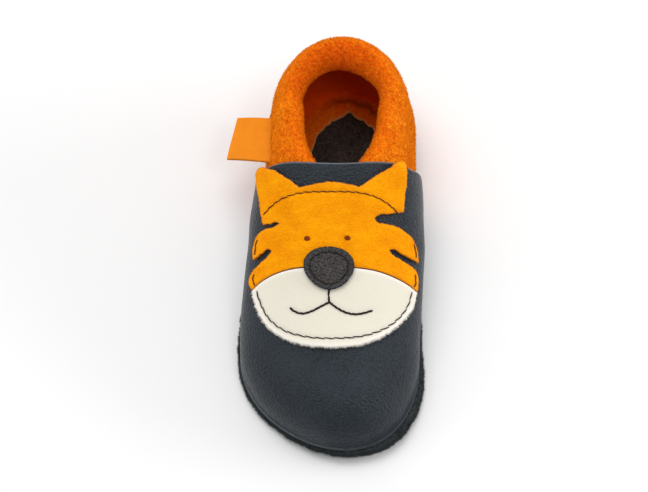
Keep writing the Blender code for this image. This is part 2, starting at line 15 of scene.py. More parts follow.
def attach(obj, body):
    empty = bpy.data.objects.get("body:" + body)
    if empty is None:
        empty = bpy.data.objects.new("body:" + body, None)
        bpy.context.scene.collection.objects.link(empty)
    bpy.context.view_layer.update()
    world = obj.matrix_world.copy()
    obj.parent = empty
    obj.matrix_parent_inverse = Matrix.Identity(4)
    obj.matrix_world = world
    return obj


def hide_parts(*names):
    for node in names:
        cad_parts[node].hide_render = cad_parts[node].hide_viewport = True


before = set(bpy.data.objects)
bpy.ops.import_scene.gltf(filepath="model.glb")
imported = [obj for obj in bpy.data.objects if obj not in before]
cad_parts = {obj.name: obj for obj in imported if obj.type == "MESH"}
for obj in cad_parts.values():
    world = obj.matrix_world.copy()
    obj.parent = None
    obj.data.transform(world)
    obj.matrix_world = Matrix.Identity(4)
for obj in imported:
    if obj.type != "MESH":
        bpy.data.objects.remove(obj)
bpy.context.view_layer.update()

MM = 0.001

# Driving sizes of the shoe, as in the part
SOLE_LENGTH = 144 * MM
BALL_WIDTH = 64 * MM
TOE_ROUND = 34 * MM
HEEL_ROUND = 26 * MM
GAP = 0.3 * MM

# Steps for measuring along curves
FINE_STEPS = 400
TURN_STEP = 0.01
PROBE = 0.2 * MM
LEAST_WIDTH = 0.003 * MM
WELD = 1e-5
RIM_STEPS = 6
END_STEPS = 4

# Sole and insole; steps count the rings of the sole, turns run round its outline
SOLE_THICKNESS = 2.0 * MM
RIM_HEIGHT = 3.8 * MM
TOE_SPRING = 2.5 * MM
SPRING_LENGTH = 26 * MM
SOLE_COUNT = 420
SOLE_LEVELS = 30
EDGE_ROUGHNESS = 0.30 * MM
EDGE_LUMPS = ((1.0, 1.1 * MM), (0.8, 3.3 * MM))
EDGE_STEP = 2.6
EDGE_SPREAD = 1.3
RAW_STEP = 2.5
RAW_SPREAD = 1.0
RAW_SHARE = 0.6
SOLE_HAIRS = 20000
HAIR_STEPS = (1.6, 4.4)
HAIR_LEVEL = 2.4
HAIR_WIDTH = 0.17 * MM
INSOLE_THICKNESS = 1.5 * MM
INSOLE_INSET = 5.0 * MM
INSOLE_END = 0.03
INSOLE_ROWS = 150
INSOLE_COLUMNS = 60
INSOLE_WAVE = 0.10 * MM
INSOLE_WAVE_SIZE = 6 * MM
INSOLE_SINK = 0.08 * MM

# Vamp
VAMP_THICKNESS = 1.4 * MM
VAMP_INSET = 1.3 * MM
SEAM_HEIGHT = RIM_HEIGHT + GAP
TOE_RISE = 19 * MM
TOE_LEAN = 1.6 * MM
LEAN_LENGTH = 45 * MM
SWELL_TURN = 0.30
SWELL_END = 84 * MM
SWELL_FADE = 14 * MM
THROAT_ALONG = 90.3 * MM
THROAT_SWEEP = 2 * MM
THROAT_SHARE = 0.86
WING_FOOT = 96 * MM
WING_BEND = 16
VAMP_COLUMNS = 220
VAMP_ROWS = 96
BEAD_HEIGHT = 0.45 * MM
BEAD_PLACE = 0.9 * MM
BEAD_WIDTH = 0.6 * MM
# Share of painted highlight along the top of the bead
BEAD_HIGHLIGHT = 0.6
THROAT_WEAR = 0.6
GROOVE_DEPTH = 0.25 * MM
GROOVE_PLACE = 2.9 * MM
GROOVE_WIDTH = 1.0 * MM
VAMP_LUMPS = ((0.14, 11 * MM), (0.06, 4 * MM))
LUMPS_START = 6 * MM

# Heel quarter; rows count the steps of its profile
SUEDE_THICKNESS = 1.5 * MM
COLLAR_THICKNESS = 3.4 * MM
QUARTER_FRONT = 83 * MM
ALLOWANCE_WAVE = 0.5 * MM
WAVE_SIZE = 0.045
WAVE_LINE = 0.6 * SOLE_LENGTH
FOOT_ROUND = 2.2 * MM
QUARTER_COLUMNS = 260
ALLOWANCE_ROWS, FOOT_ROWS, CLIMB_ROWS, BEND_ROWS, LIP_ROWS = 10, 6, 22, 34, 16
WALL_ROW = ALLOWANCE_ROWS + FOOT_ROWS
LIP_ROW = WALL_ROW + CLIMB_ROWS + BEND_ROWS
WALL_FADE = 8
FRONT_FADE = 0.12
LIP_FADE = 14
CASING_FADE = 10
CASING_DROP = 16.8 * MM
CASING_WIDTH = 1.5 * MM
CASING_DEPTH = 0.55 * MM
CASING_END = 0.93
CASING_POINTS = 700
HEEL_WAVE = 0.12 * MM
HEEL_WAVE_SIZE = 10 * MM
RIPPLE_DEPTH = 0.25 * MM
RIPPLE_LENGTH = 14 * MM
CREASE_DEPTH = 0.8 * MM
CREASE_ROW = 6.5
CREASE_WIDTH = 1.5
CREASE_TURNS = 20
CREASE_END = 0.28
CREASE_FADE = 0.25
GATHER_DEPTH = 0.16 * MM
GATHER_COUNT = 30
GATHER_LENGTH = 30 * MM
GATHER_PLACE = 2 * MM
GATHER_SPREAD = 9 * MM
# Painted shade: darker on the collar's lip and inner slope (LIP_SHADE and the SHADE_ rows), and on the inside
# wall under the lip (INSIDE_SHADE)
LIP_SHADE = 0.75
SHADE_ROW = LIP_ROW - 14
SHADE_FADE = 20
SHADE_SPREAD = 0.75
INSIDE_WAVE = 0.3 * MM
INSIDE_WAVE_SIZE = 7 * MM
INSIDE_SHARE = 0.85
INSIDE_SHADE = 0.6
INSIDE_NAP = 1.2 * MM
HEEL_HAIRS = 46000
NAP_LENGTH = 0.85 * MM
NAP_WIDTH = 0.22 * MM
# Painted rim light on the tips of the nap hairs
PAINTED_TIP_LIGHT = 0.6

# Sewn-on face
MASK_THICKNESS = 1.3 * MM
MUZZLE_THICKNESS = 1.0 * MM
NOSE_THICKNESS = 1.2 * MM
NOSE_HALF_WIDTH = 8.2 * MM
NOSE_MIDDLE = -0.5 * MM
NOSE_TOP = 28.9 * MM
NOSE_BOTTOM = 43.5 * MM
NOSE_TAPER = 0.34
NOSE_CROWN = 0.5 * MM
NOSE_RING = 1.7 * MM
NOSE_POINTS = 110
FACE_OFFSET = -2.6 * MM
FACE_LEAN = 0.085
FACE_SPACING = 0.75 * MM
EDGE_SPACING = 0.45 * MM
CUT_ROUND = 0.45 * MM
CUT_RIMS = (0.35 * CUT_ROUND, CUT_ROUND)
RIM_CLEAR = 0.95
NICK = 0.9 * MM
LONG_NICK = 2.7 * MM
EAR_LIFT = 1.6 * MM
EDGE_HAIR_WIDTH = 0.32 * MM

# Thread
STITCH = 3.3 * MM
STITCH_STEPS = 9
STITCH_ARCH = 1.2
STITCH_DIP = 0.5
STITCH_END = 0.45
TUBE_SIDES = 7
SEAM_SPREAD = 0.8 * MM
MASK_SEAM = 0.30 * MM
MUZZLE_SEAM = 0.28 * MM
MOUTH_SEAM = 0.22 * MM
NOSE_SEAM = 0.50 * MM
KNOT_REACH = 0.95 * MM
KNOT_RADIUS = 0.24 * MM
KNOT_HEIGHT = 0.5 * MM
KNOT_TURNS = 3.2
KNOT_STEPS = 90

# Side label
LABEL_WIDTH = 17 * MM
LABEL_LENGTH = 13.1 * MM
LABEL_THICKNESS = 1.1 * MM
LABEL_ALONG = 109 * MM
LABEL_HEIGHT = 32 * MM
LABEL_DROOP = 2.0 * MM
LABEL_SKEW = 3.0 * MM
LABEL_WAVE = 0.25 * MM
RIBBON_THICKNESS = 0.42 * MM
LABEL_COLUMNS = 44
LABEL_ROWS = 36
FOLD_STEPS = 12


# Tables
def table(columns, *rows, scale=1.0):
    """Rows with named columns; the columns after the first are multiplied by a scale."""
    row_of = namedtuple("Row", columns)
    return tuple(row_of(row[0], *(value * scale for value in row[1:])) for row in rows)


# Plan of the last: along is a share of the sole length from the toe, the others are shares of the ball width
PLAN = table(
    "along centre half_width",
    (0.00, 0.040, 0.485), (0.12, -0.030, 0.498), (0.25, -0.072, 0.504), (0.45, -0.062, 0.482),
    (0.63, -0.030, 0.440), (0.80, -0.022, 0.397), (1.00, -0.006, 0.384))

# Sections of the vamp: height of the ridge, how square the arch is (2 is an ellipse), swell of the sides
VAMP = table(
    "along ridge squareness swell",
    (0.00, 25.0 * MM, 2.1, 0.4 * MM),
    (0.14, 26.5 * MM, 2.3, 0.6 * MM),
    (0.28, 31.0 * MM, 2.6, 1.4 * MM),
    (0.46, 39.5 * MM, 3.2, 2.7 * MM),
    (0.63, 50.0 * MM, 4.0, 3.4 * MM),
    (0.72, 54.5 * MM, 4.2, 3.4 * MM))

# Sections of the heel quarter from the heel (0) to a front edge (1): height of the collar's crest, run and
# rise of the bend up to it, run and drop of the lip behind it, inset of the wall's foot, swell of the wall
HALF_QUARTER = table(
    "around crest run rise lip_run lip_drop foot swell",
    (0.00, 54.5, 8.0, 20, 5.6, 7.5, 0.6, 2.4),
    (0.35, 53.0, 7.0, 20, 5.0, 7.0, 0.8, 2.4),
    (0.65, 50.0, 6.6, 21, 4.4, 6.5, 1.4, 2.4),
    (0.80, 47.5, 9.6, 23, 4.4, 6.0, 2.2, 2.0),
    (0.90, 46.8, 15.2, 24, 4.6, 6.0, 3.0, 1.0),
    (1.00, 43.0, 17.0, 24, 4.6, 5.5, 4.0, 0.6), scale=MM)
QUARTER = tuple(row._replace(around=-row.around) for row in HALF_QUARTER[:0:-1]) + HALF_QUARTER

# Sewing allowance of the heel inside the shoe, from the inner side (-1) to the outer side (1)
ALLOWANCE = table(
    "around width",
    (-1.00, 9.0), (-0.36, 10.0), (-0.18, 10.3), (-0.11, 10.0), (-0.045, 8.7), (0.03, 10.0), (0.30, 11.8),
    (0.55, 12.2), (1.00, 10.0), scale=MM)

# How far the collar's lip reaches into the opening, over its even run
LIP_REACH = table(
    "around reach",
    (-1.00, 0.0), (-0.82, -0.3), (-0.66, -1.1), (-0.50, -0.1), (-0.28, 1.3), (0.00, 0.7), (0.30, 0.4),
    (1.00, 0.0), scale=MM)

# Puffs of the heel above and below its casing seam
PUFFS = table("below width height", (-5.0 * MM, 4.0 * MM, 0.45 * MM), (5.0 * MM, 4.5 * MM, 0.3 * MM))

# Rings of the sole from its underside over the rim to its floor: inset from the plan, height over the floor
SOLE_RINGS = table(
    "step inset height",
    (0, 3.0 * MM, 0.0),
    (1, 1.0 * MM, 0.4 * MM),
    (2, 0.0, 1.5 * MM),
    (3, 0.0, 2.8 * MM),
    (4, 0.8 * MM, RIM_HEIGHT),
    (5, 3.4 * MM, RIM_HEIGHT),
    (6, 4.4 * MM, SOLE_THICKNESS))

# Drawn lines of the face: across from its middle line and down from the throat edge, both over the leather
FaceRow = namedtuple("FaceRow", "across down sharp")


def face_rows(*rows):
    """Rows of a drawn line in millimetres: across, down, and a third value where it turns sharply."""
    return tuple(FaceRow(row[0] * MM, row[1] * MM, len(row) > 2) for row in rows)


def mirrored(rows):
    """Rows of a drawn line, turned over to the outer side."""
    return tuple(row._replace(across=-row.across) for row in rows)


def both_sides(outer, inner):
    """Rows of a line from its outer end to its inner end, over the middle row that both sides share."""
    return mirrored(outer[:0:-1]) + inner


# Half outlines, from the middle line outwards
OUTER_EAR = face_rows(
    (0, 6.0), (10.3, 7.8, "sharp"), (15.0, 3.8), (20.4, -0.3), (25.2, -2.2), (26.9, -1.8, "sharp"),
    (27.3, 3.0), (26.0, 10.9), (23.9, 18.3, "sharp"), (20.6, 18.9), (18.2, 18.9), (17.3, 19.5), (18.3, 20.1))
INNER_EAR = face_rows(
    (0, 6.0), (10.3, 7.8, "sharp"), (15.0, 4.4), (20.4, 0.5), (24.6, -2.8), (25.9, -2.9, "sharp"),
    (26.9, 3.0), (26.6, 9.0), (26.0, 14.1, "sharp"), (19.7, 16.1), (16.7, 16.9), (15.5, 18.2), (16.4, 19.5))
OUTER_CHEEK = face_rows(
    (21.4, 20.4), (24.4, 20.5), (27.2, 21.9), (28.6, 24.4), (29.0, 28.0), (28.4, 29.8, "sharp"), (24.2, 28.5),
    (21.8, 27.8), (20.4, 28.6), (21.2, 29.8), (23.2, 31.1), (26.6, 32.9), (29.8, 34.6), (30.8, 36.8),
    (29.1, 40.3, "sharp"))
INNER_CHEEK = face_rows(
    (19.6, 19.7), (23.4, 19.9), (26.6, 20.7), (29.6, 21.9), (32.0, 23.8), (33.0, 26.6), (33.4, 29.2, "sharp"),
    (28.4, 29.2), (24.4, 28.5), (21.9, 27.7), (20.5, 28.5), (21.5, 29.8), (24.4, 30.8), (28.8, 31.7),
    (32.2, 33.0), (33.1, 35.8), (32.6, 39.4, "sharp"))
OUTER_HEM = face_rows((0, 35.6), (16.0, 36.2), (24.0, 38.2), (29.1, 40.3, "sharp"))
INNER_HEM = face_rows((0, 35.6), (16.0, 36.2), (24.0, 37.6), (32.6, 39.4, "sharp"))
OUTER_CHIN = face_rows(
    (0, 63.3), (11.2, 62.2), (16.4, 60.2), (20.6, 57.2), (23.8, 53.4), (26.3, 49.3), (27.8, 44.6),
    (29.1, 40.3, "sharp"))
INNER_CHIN = face_rows(
    (0, 63.3), (9.6, 61.8), (15.6, 58.9), (21.4, 54.8), (26.1, 50.2), (30.0, 45.3), (32.6, 39.4, "sharp"))

# Sewn lines, from the middle line outwards
EAR_SEAM = face_rows((0, 9.4), (11.4, 9.9), (16.2, 11.0), (20.6, 13.0), (23.8, 15.1))
OUTER_SEAM = face_rows(
    (0, 60.6), (11.5, 59.5), (16.2, 57.7), (20.2, 54.6), (23.1, 50.9), (25.3, 45.9), (26.9, 41.4))
INNER_SEAM = face_rows(
    (0, 60.6), (10.2, 59.2), (16.2, 56.7), (21.0, 53.4), (25.4, 48.8), (28.3, 44.2), (29.6, 40.3))
OUTER_SIDES = (
    face_rows((26.6, 23.0), (27.3, 25.4), (27.5, 28.2)), face_rows((28.0, 35.0), (28.3, 37.2), (27.2, 39.4)))
INNER_SIDES = (
    face_rows((30.8, 23.8), (31.6, 25.6), (32.0, 28.2)), face_rows((31.2, 34.0), (31.5, 36.4), (30.7, 38.6)))
LIP = face_rows((-0.8, 43.6), (-1.0, 46.0), (-0.9, 48.0))
INNER_SMILE = face_rows((-0.9, 48.0), (1.2, 49.7), (4.2, 51.4), (7.6, 52.0), (10.9, 51.3), (13.6, 50.2))
OUTER_SMILE = face_rows((-0.9, 48.0), (-4.1, 49.6), (-7.3, 51.2), (-10.5, 51.8), (-12.8, 51.0), (-14.4, 49.6))
EAR_LINE = both_sides(EAR_SEAM, EAR_SEAM)
CHIN_LINE = both_sides(OUTER_SEAM, INNER_SEAM)
CHEEK_LINES = (*INNER_SIDES, *(mirrored(rows) for rows in OUTER_SIDES))
EYES = face_rows((-7.7, 25.6), (6.1, 25.5))

# View and light: the photograph's eye point and frame, then the one shoe in the middle of the frame
FRAME_WIDTH = 648
SENSOR = 36.0
ELEVATION = math.radians(65)
DISTANCE = 1.1
PHOTO_AIM = np.array([0.0302, -0.0027, 0.020])
SHOE_AIM = Vector((-0.0069, 0.0005, 0.0215))
SCALE = 0.352 * MM
FLOOR_REACH = 3.0
SURROUND = 0.635
SIDE_LIGHT = (-0.20, 0.26, 0.0)
LightRow = namedtuple("LightRow", "name place size power")
LIGHTS = (
    LightRow("overhead", (-0.22, 0.28, 1.6), (1.1, 1.1), 13.0),
    LightRow("front_box", (0.36, -0.46, 1.25), (0.3, 0.3), 2.0),
    LightRow("left_box", (-1.0, -0.40, 0.32), (0.5, 0.3), 1.7),
    LightRow("right_box", (0.90, 0.02, 0.34), (0.62, 0.20), 4.4),
    LightRow("back_box", (0.05, 0.90, 0.40), (0.50, 0.20), 0.7),
)

NOISE_SIDE = 32
NOISE = np.random.default_rng(7).uniform(-1, 1, (NOISE_SIDE,) * 3)


# Measures of the last
def smooth(rows, column, at):
    """A table's column as a curve over its first column: cubic spans, with slopes from the rows beside."""
    knots = np.array([row[0] for row in rows])
    values = np.array([getattr(row, column) for row in rows])
    slopes = np.gradient(values, knots)
    at = np.clip(at, knots[0], knots[-1])
    span = np.clip(np.searchsorted(knots, at, side="right") - 1, 0, len(knots) - 2)
    width = knots[span + 1] - knots[span]
    t = (at - knots[span]) / width
    first = (1 + 2 * t) * (1 - t) ** 2 * values[span] + t * (1 - t) ** 2 * width * slopes[span]
    second = t**2 * (3 - 2 * t) * values[span + 1] - t**2 * (1 - t) * width * slopes[span + 1]
    return first + second


def rounding(share):
    """Quarter of a circle: 0 at share 0, 1 from share 1 on."""
    share = np.clip(share, 0, 1)
    return np.sqrt(share * (2 - share))


def ease(share):
    """Soft step from 0 to 1: three squares less two cubes."""
    share = np.clip(share, 0, 1)
    return share * share * (3 - 2 * share)


def hill(distance, width):
    """Bell curve of a distance, 1 at its middle."""
    return np.exp(-((distance / width) ** 2))


def unit(vectors):
    """Vectors cut to length 1."""
    return vectors / np.linalg.norm(vectors, axis=-1, keepdims=True)


def bumps(spots, size):
    """Smooth noise from -1 to 1: a fixed block of random values, blended between cells of the given size."""
    at = np.asarray(spots) / size
    cell = np.floor(at).astype(int)
    part = ease(at - cell)
    total = 0
    for corner in np.ndindex(2, 2, 2):
        weight = np.prod(np.where(corner, part, 1 - part), axis=-1)
        x, y, z = np.moveaxis((cell + corner) % NOISE_SIDE, -1, 0)
        total = total + weight * NOISE[x, y, z]
    return total


def lumps(spots, rows):
    """Sum of noises, each with its share and size."""
    return sum(share * bumps(spots, size) for share, size in rows)


def half_width(along, inset=0.0):
    """Half width of the last's plan, inset all round, with a round toe and a round heel."""
    full = smooth(PLAN, "half_width", along / SOLE_LENGTH) * BALL_WIDTH - inset
    toe = rounding((along - inset) / TOE_ROUND)
    heel = rounding((SOLE_LENGTH - inset - along) / HEEL_ROUND)
    return full * toe * heel


def centre(along):
    """Where the last's own curve stands across the shoe."""
    return smooth(PLAN, "centre", along / SOLE_LENGTH) * BALL_WIDTH


def plan(turn, inset=0.0):
    """Outline of the last: turn 0 is the toe, pi/2 the inner side and pi the heel. Gives across and along."""
    along = inset + (SOLE_LENGTH - 2 * inset) * (1 - np.cos(turn)) / 2
    across = centre(along) + np.sign(np.sin(turn)) * half_width(along, inset)
    return across, along


def turn_at(along, inset=0.0):
    """The turn on the inner side at a distance from the toe."""
    return math.acos(1 - 2 * (along - inset) / (SOLE_LENGTH - 2 * inset))


def plan_inward(turn):
    """Unit vectors that point in from the outline, square to it."""
    ahead, behind = plan(turn + TURN_STEP), plan(turn - TURN_STEP)
    run, rise = ahead[0] - behind[0], ahead[1] - behind[1]
    size = np.hypot(run, rise)
    return -rise / size, run / size


def spring(along):
    """Lift of the toe over the floor."""
    return TOE_SPRING * np.clip(1 - along / SPRING_LENGTH, 0, 1) ** 2


def points(across, along, height):
    """World points from shoe measures, with the middle of the sole's length at the origin."""
    return np.stack(np.broadcast_arrays(across, along - SOLE_LENGTH / 2, height), axis=-1)


def walk(path):
    """Distance walked along each path of points, from 0 at its start."""
    steps = np.linalg.norm(np.diff(path, axis=-2), axis=-1)
    return np.concatenate([np.zeros(steps.shape[:-1] + (1,)), np.cumsum(steps, axis=-1)], axis=-1)


def read_off(at, knots, values):
    """Straight-line reading of values at rising knots, row by row."""
    count = (knots[..., None, :] <= at[..., :, None]).sum(axis=-1)
    low = np.clip(count - 1, 0, knots.shape[-1] - 2)
    start, end = np.take_along_axis(knots, low, -1), np.take_along_axis(knots, low + 1, -1)
    first, second = np.take_along_axis(values, low, -1), np.take_along_axis(values, low + 1, -1)
    return first + (second - first) * np.clip((at - start) / (end - start), 0, 1)


def normals(grid):
    """Unit normals of a grid of points, from its two directions."""
    return unit(np.cross(np.gradient(grid, axis=1), np.gradient(grid, axis=0)))


# Surfaces of the upper
def vamp_section(share, along):
    """Point of the vamp's arch at a share of its half width (-1 to 1): across and height.

    The arch is a rounded square curve between the seam and the ridge, with a slight swell low on its sides,
    more on the inner side than on the outer one. At the toe it leans to the outer side, so that more of the
    sole's edge shows on the inner side.
    """
    square = smooth(VAMP, "squareness", along / SOLE_LENGTH)
    seam = SEAM_HEIGHT + spring(along)
    ridge = smooth(VAMP, "ridge", along / SOLE_LENGTH) - SEAM_HEIGHT
    ridge = ridge * rounding((along - VAMP_INSET) / TOE_RISE)
    arch = np.clip(1 - np.abs(share) ** square, 0, 1) ** (1 / square)
    height = seam + ridge * arch
    swell = smooth(VAMP, "swell", along / SOLE_LENGTH) * np.sin(np.pi * arch)
    swell = swell * (1 + SWELL_TURN * np.sign(share) * ease((SWELL_END - along) / SWELL_FADE))
    lean = TOE_LEAN * np.clip(1 - along / LEAN_LENGTH, 0, 1)
    across = centre(along) - lean + share * (half_width(along, VAMP_INSET) + swell)
    return across, height


def vamp_plan(turn, share):
    """Plan of a line of the vamp, from the seam at one turn of the outline to the throat: across and along.

    Share runs 0 to 1. The lines at the rear edges of the wings bend a little, to end level with the throat.
    """
    place = turn / turn_at(WING_FOOT, VAMP_INSET)
    foot_across, foot_along = plan(turn, VAMP_INSET)
    throat_along = THROAT_ALONG + THROAT_SWEEP * place**2
    throat_across = centre(throat_along) + place * THROAT_SHARE * half_width(throat_along, VAMP_INSET)
    bent = share + place**WING_BEND * share * (1 - share)
    across = foot_across + (throat_across - foot_across) * share
    return across, foot_along + (throat_along - foot_along) * bent


def vamp_over(across, along):
    """World points of the vamp over places of its plan."""
    width = np.maximum(half_width(along, VAMP_INSET), LEAST_WIDTH)
    across, height = vamp_section(np.clip((across - centre(along)) / width, -1, 1), along)
    return points(across, along, height)


def vamp_face():
    """Outer face of the vamp as a grid of evenly cut lines, its normals, and distances from the seam.

    Normals come from the grid in its lower half, and in its upper half from small steps over the plan.
    """
    limit = turn_at(WING_FOOT, VAMP_INSET)
    turns = np.linspace(-limit, limit, VAMP_COLUMNS)[:, None]
    fine = np.linspace(0, 1, FINE_STEPS) ** 3 + 0 * turns
    walked = walk(vamp_over(*vamp_plan(turns, fine)))
    even = np.linspace(0, 1, VAMP_ROWS) * walked[:, -1:]
    across, along = vamp_plan(turns, read_off(even, walked, fine))
    across, along, even = across.T, along.T, even.T
    face = vamp_over(across, along)
    sideways = vamp_over(across + PROBE, along) - vamp_over(across - PROBE, along)
    backways = vamp_over(across, along + PROBE) - vamp_over(across, along - PROBE)
    upper = np.arange(VAMP_ROWS)[:, None, None] > VAMP_ROWS // 2
    return face, np.where(upper, unit(np.cross(sideways, backways)), normals(face)), even


def over_vamp(across, down, lift):
    """World points on the vamp: across from the ridge and down from the throat, measured over the leather.

    The ridge, then the arch at that place, are walked in small steps. Lift stands square to the surface.
    """
    ridge_along = np.linspace(THROAT_ALONG + 4 * THROAT_SWEEP, VAMP_INSET + TOE_RISE / 2, FINE_STEPS)
    ridge_across, ridge_height = vamp_section(np.zeros(FINE_STEPS), ridge_along)
    walked = walk(points(ridge_across, ridge_along, ridge_height))
    walked = walked - np.interp(-THROAT_ALONG, -ridge_along, walked)

    def surface(across, down):
        along = np.interp(down, walked, ridge_along)[:, None]
        shares = np.sin(np.linspace(0, math.pi / 2, FINE_STEPS)) * np.sign(across)[:, None]
        arch_across, arch_height = vamp_section(shares, along)
        length = walk(np.stack([arch_across, arch_height], axis=-1))
        place = read_off(np.abs(across)[:, None], length, shares)
        x, z = vamp_section(place, along)
        return points(x[:, 0], along[:, 0], z[:, 0])

    sideways = surface(across + PROBE, down) - surface(across - PROBE, down)
    downways = surface(across, down + PROBE) - surface(across, down - PROBE)
    return surface(across, down) + np.asarray(lift)[..., None] * unit(np.cross(downways, sideways))


def over_face(flat, lift):
    """World points of flat face measures, with the face's own offset and lean across the vamp."""
    return over_vamp(flat[:, 0] + FACE_OFFSET + FACE_LEAN * flat[:, 1], flat[:, 1], lift + 0 * flat[:, 0])


def quarter_turn(around):
    """Turn of the outline at a place round the heel, -1 and 1 at the two front edges."""
    return math.pi + around * (math.pi - turn_at(QUARTER_FRONT))


def quarter_wall(around, height):
    """How far in from the outline the heel's outer face stands at a height below its crest."""
    crest, rise = smooth(QUARTER, "crest", around), smooth(QUARTER, "rise", around)
    start = crest - rise
    low = np.clip((height - SEAM_HEIGHT) / (start - SEAM_HEIGHT), 0, 1)
    bend = np.arcsin(np.clip((height - start) / rise, 0, 1))
    foot = smooth(QUARTER, "foot", around) - smooth(QUARTER, "swell", around) * np.sin(np.pi * low)
    return foot + smooth(QUARTER, "run", around) * (1 - np.cos(bend))


def quarter_point(around, inward, height):
    """World point a distance in from the outline, at a place round the heel."""
    turn = quarter_turn(around)
    across, along = plan(turn)
    in_across, in_along = plan_inward(turn)
    return points(across + in_across * inward, along + in_along * inward, height)


def quarter_profile(around):
    """Outer face of the heel: along the allowance, round its foot, up the wall, over the crest, down the lip.

    Each stretch is a line or a quarter of an ellipse. Gives inward distances, heights and thicknesses, with a
    row for each step of the profile and a column for each place round the heel.
    """
    names = ("crest", "rise", "run", "foot", "lip_run", "lip_drop")
    crest, rise, run, foot, lip_run, lip_drop = (smooth(QUARTER, name, around)[None, :] for name in names)
    lip_run = lip_run + smooth(LIP_REACH, "reach", around)
    width = smooth(ALLOWANCE, "width", around)
    width = width + ALLOWANCE_WAVE * bumps(points(around, WAVE_LINE, 0.0), WAVE_SIZE)
    flat = np.linspace(1, 0, ALLOWANCE_ROWS, endpoint=False)[:, None]
    foot_bend = np.linspace(0, math.pi / 2, FOOT_ROWS, endpoint=False)[:, None]
    climb = np.linspace(0, 1, CLIMB_ROWS, endpoint=False)[:, None]
    bend = np.linspace(0, math.pi / 2, BEND_ROWS, endpoint=False)[:, None]
    roll = np.linspace(0, math.pi / 2, LIP_ROWS)[:, None]
    low = SEAM_HEIGHT + FOOT_ROUND
    wall_height = low + (crest - rise - low) * climb
    inward = np.concatenate([
        foot + FOOT_ROUND + (width - FOOT_ROUND) * flat,
        foot + FOOT_ROUND * (1 - np.sin(foot_bend)),
        quarter_wall(around[None, :], wall_height),
        foot + run * (1 - np.cos(bend)),
        foot + run + lip_run * np.sin(roll),
    ])
    height = np.concatenate([
        SEAM_HEIGHT + 0 * flat * crest,
        SEAM_HEIGHT + FOOT_ROUND * (1 - np.cos(foot_bend)) + 0 * crest,
        wall_height,
        crest - rise + rise * np.sin(bend),
        crest - lip_drop * (1 - np.cos(roll)),
    ])
    thick = SUEDE_THICKNESS + (COLLAR_THICKNESS - SUEDE_THICKNESS) * np.sin(bend) ** 2
    plain = np.full((WALL_ROW + CLIMB_ROWS, 1), SUEDE_THICKNESS)
    thickness = np.concatenate([plain, thick, np.full(roll.shape, COLLAR_THICKNESS)])
    return inward, height, thickness + 0 * crest


# Lines and cuts of the face
def drawn(rows):
    """Points of a drawn line: smooth through the rows and turning only at the sharp ones, in even steps."""
    line = []
    corners = [i for i, row in enumerate(rows) if row.sharp or i in (0, len(rows) - 1)]
    for first, last in zip(corners[:-1], corners[1:]):
        knots = np.array([row[:2] for row in rows[first:last + 1]])
        walked = walk(knots)
        spots = np.linspace(0, walked[-1], max(2, round(walked[-1] / EDGE_SPACING) + 1))
        stretch = table("walked across down", *np.column_stack([walked, knots]))
        line.extend(np.stack([smooth(stretch, name, spots) for name in ("across", "down")], axis=1)[:-1])
    return np.array(line + [knots[-1]])


def away(spots, line, closed=False):
    """Distance of flat spots from a drawn line."""
    start = line if closed else line[:-1]
    edge = np.roll(line, -1, axis=0)[:len(start)] - start
    offset = spots[:, None, :] - start[None]
    share = np.clip((offset * edge).sum(-1) / (edge**2).sum(-1), 0, 1)
    return np.linalg.norm(offset - share[..., None] * edge, axis=-1).min(axis=1)


def inside(spots, outline):
    """Which flat spots lie in a closed outline: a ray from them crosses it an odd number of times."""
    start, end = outline, np.roll(outline, -1, axis=0)
    above = (start[:, 1] > spots[:, None, 1]) != (end[:, 1] > spots[:, None, 1])
    rise = np.where(end[:, 1] == start[:, 1], 1, end[:, 1] - start[:, 1])
    crossing = start[:, 0] + (end - start)[:, 0] * (spots[:, None, 1] - start[:, 1]) / rise
    return (above & (spots[:, None, 0] < crossing)).sum(axis=1) % 2 == 1


def spin(line):
    """Twice the signed area between a line and the chord of its ends: positive where across turns to down."""
    after = np.roll(line, -1, axis=0)
    return (line[:, 0] * after[:, 1] - line[:, 1] * after[:, 0]).sum()


def nose_outline(inset=0.0):
    """Shield of the nose: an ellipse that narrows towards its foot, inset all round."""
    turns = np.linspace(0, 2 * math.pi, NOSE_POINTS, endpoint=False)
    drop = (1 - np.cos(turns)) / 2
    across = NOSE_MIDDLE + (NOSE_HALF_WIDTH - inset) * np.sin(turns) * (1 + NOSE_TAPER * (0.5 - drop))
    return np.stack([across, NOSE_TOP + inset + (NOSE_BOTTOM - NOSE_TOP - 2 * inset) * drop], axis=1)


# Meshes
def add_piece(name, spots, faces, look, replaces=None, flow=None, **marks):
    """A named piece from points and sets of faces. Flow is its UV map; marks are values at its points."""
    mesh = bpy.data.meshes.new(name)
    loops = np.concatenate([part.ravel() for part in faces])
    sizes = np.concatenate([np.full(len(part), part.shape[1]) for part in faces])
    mesh.vertices.add(len(spots))
    mesh.vertices.foreach_set("co", spots.ravel())
    mesh.loops.add(len(loops))
    mesh.loops.foreach_set("vertex_index", loops)
    mesh.polygons.add(len(sizes))
    mesh.polygons.foreach_set("loop_start", np.cumsum(sizes) - sizes)
    mesh.update(calc_edges=True)
    mesh.validate()
    mesh.shade_smooth()
    for key, values in marks.items():
        mesh.attributes.new(key, "FLOAT", "POINT").data.foreach_set("value", values.ravel())
    if flow is not None:
        mesh.uv_layers.new(name="flow").data.foreach_set("uv", flow.reshape(-1, 2)[loops].ravel())
    mesh.materials.append(look.material)
    piece = bpy.data.objects.new(name, mesh)
    bpy.context.scene.collection.objects.link(piece)
    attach(piece, "root")
    if replaces:
        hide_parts(replaces)


def grid_faces(index):
    """Quads between neighbouring rows and columns of a grid of point numbers."""
    return np.stack([index[:-1, :-1], index[:-1, 1:], index[1:, 1:], index[1:, :-1]], axis=-1).reshape(-1, 4)


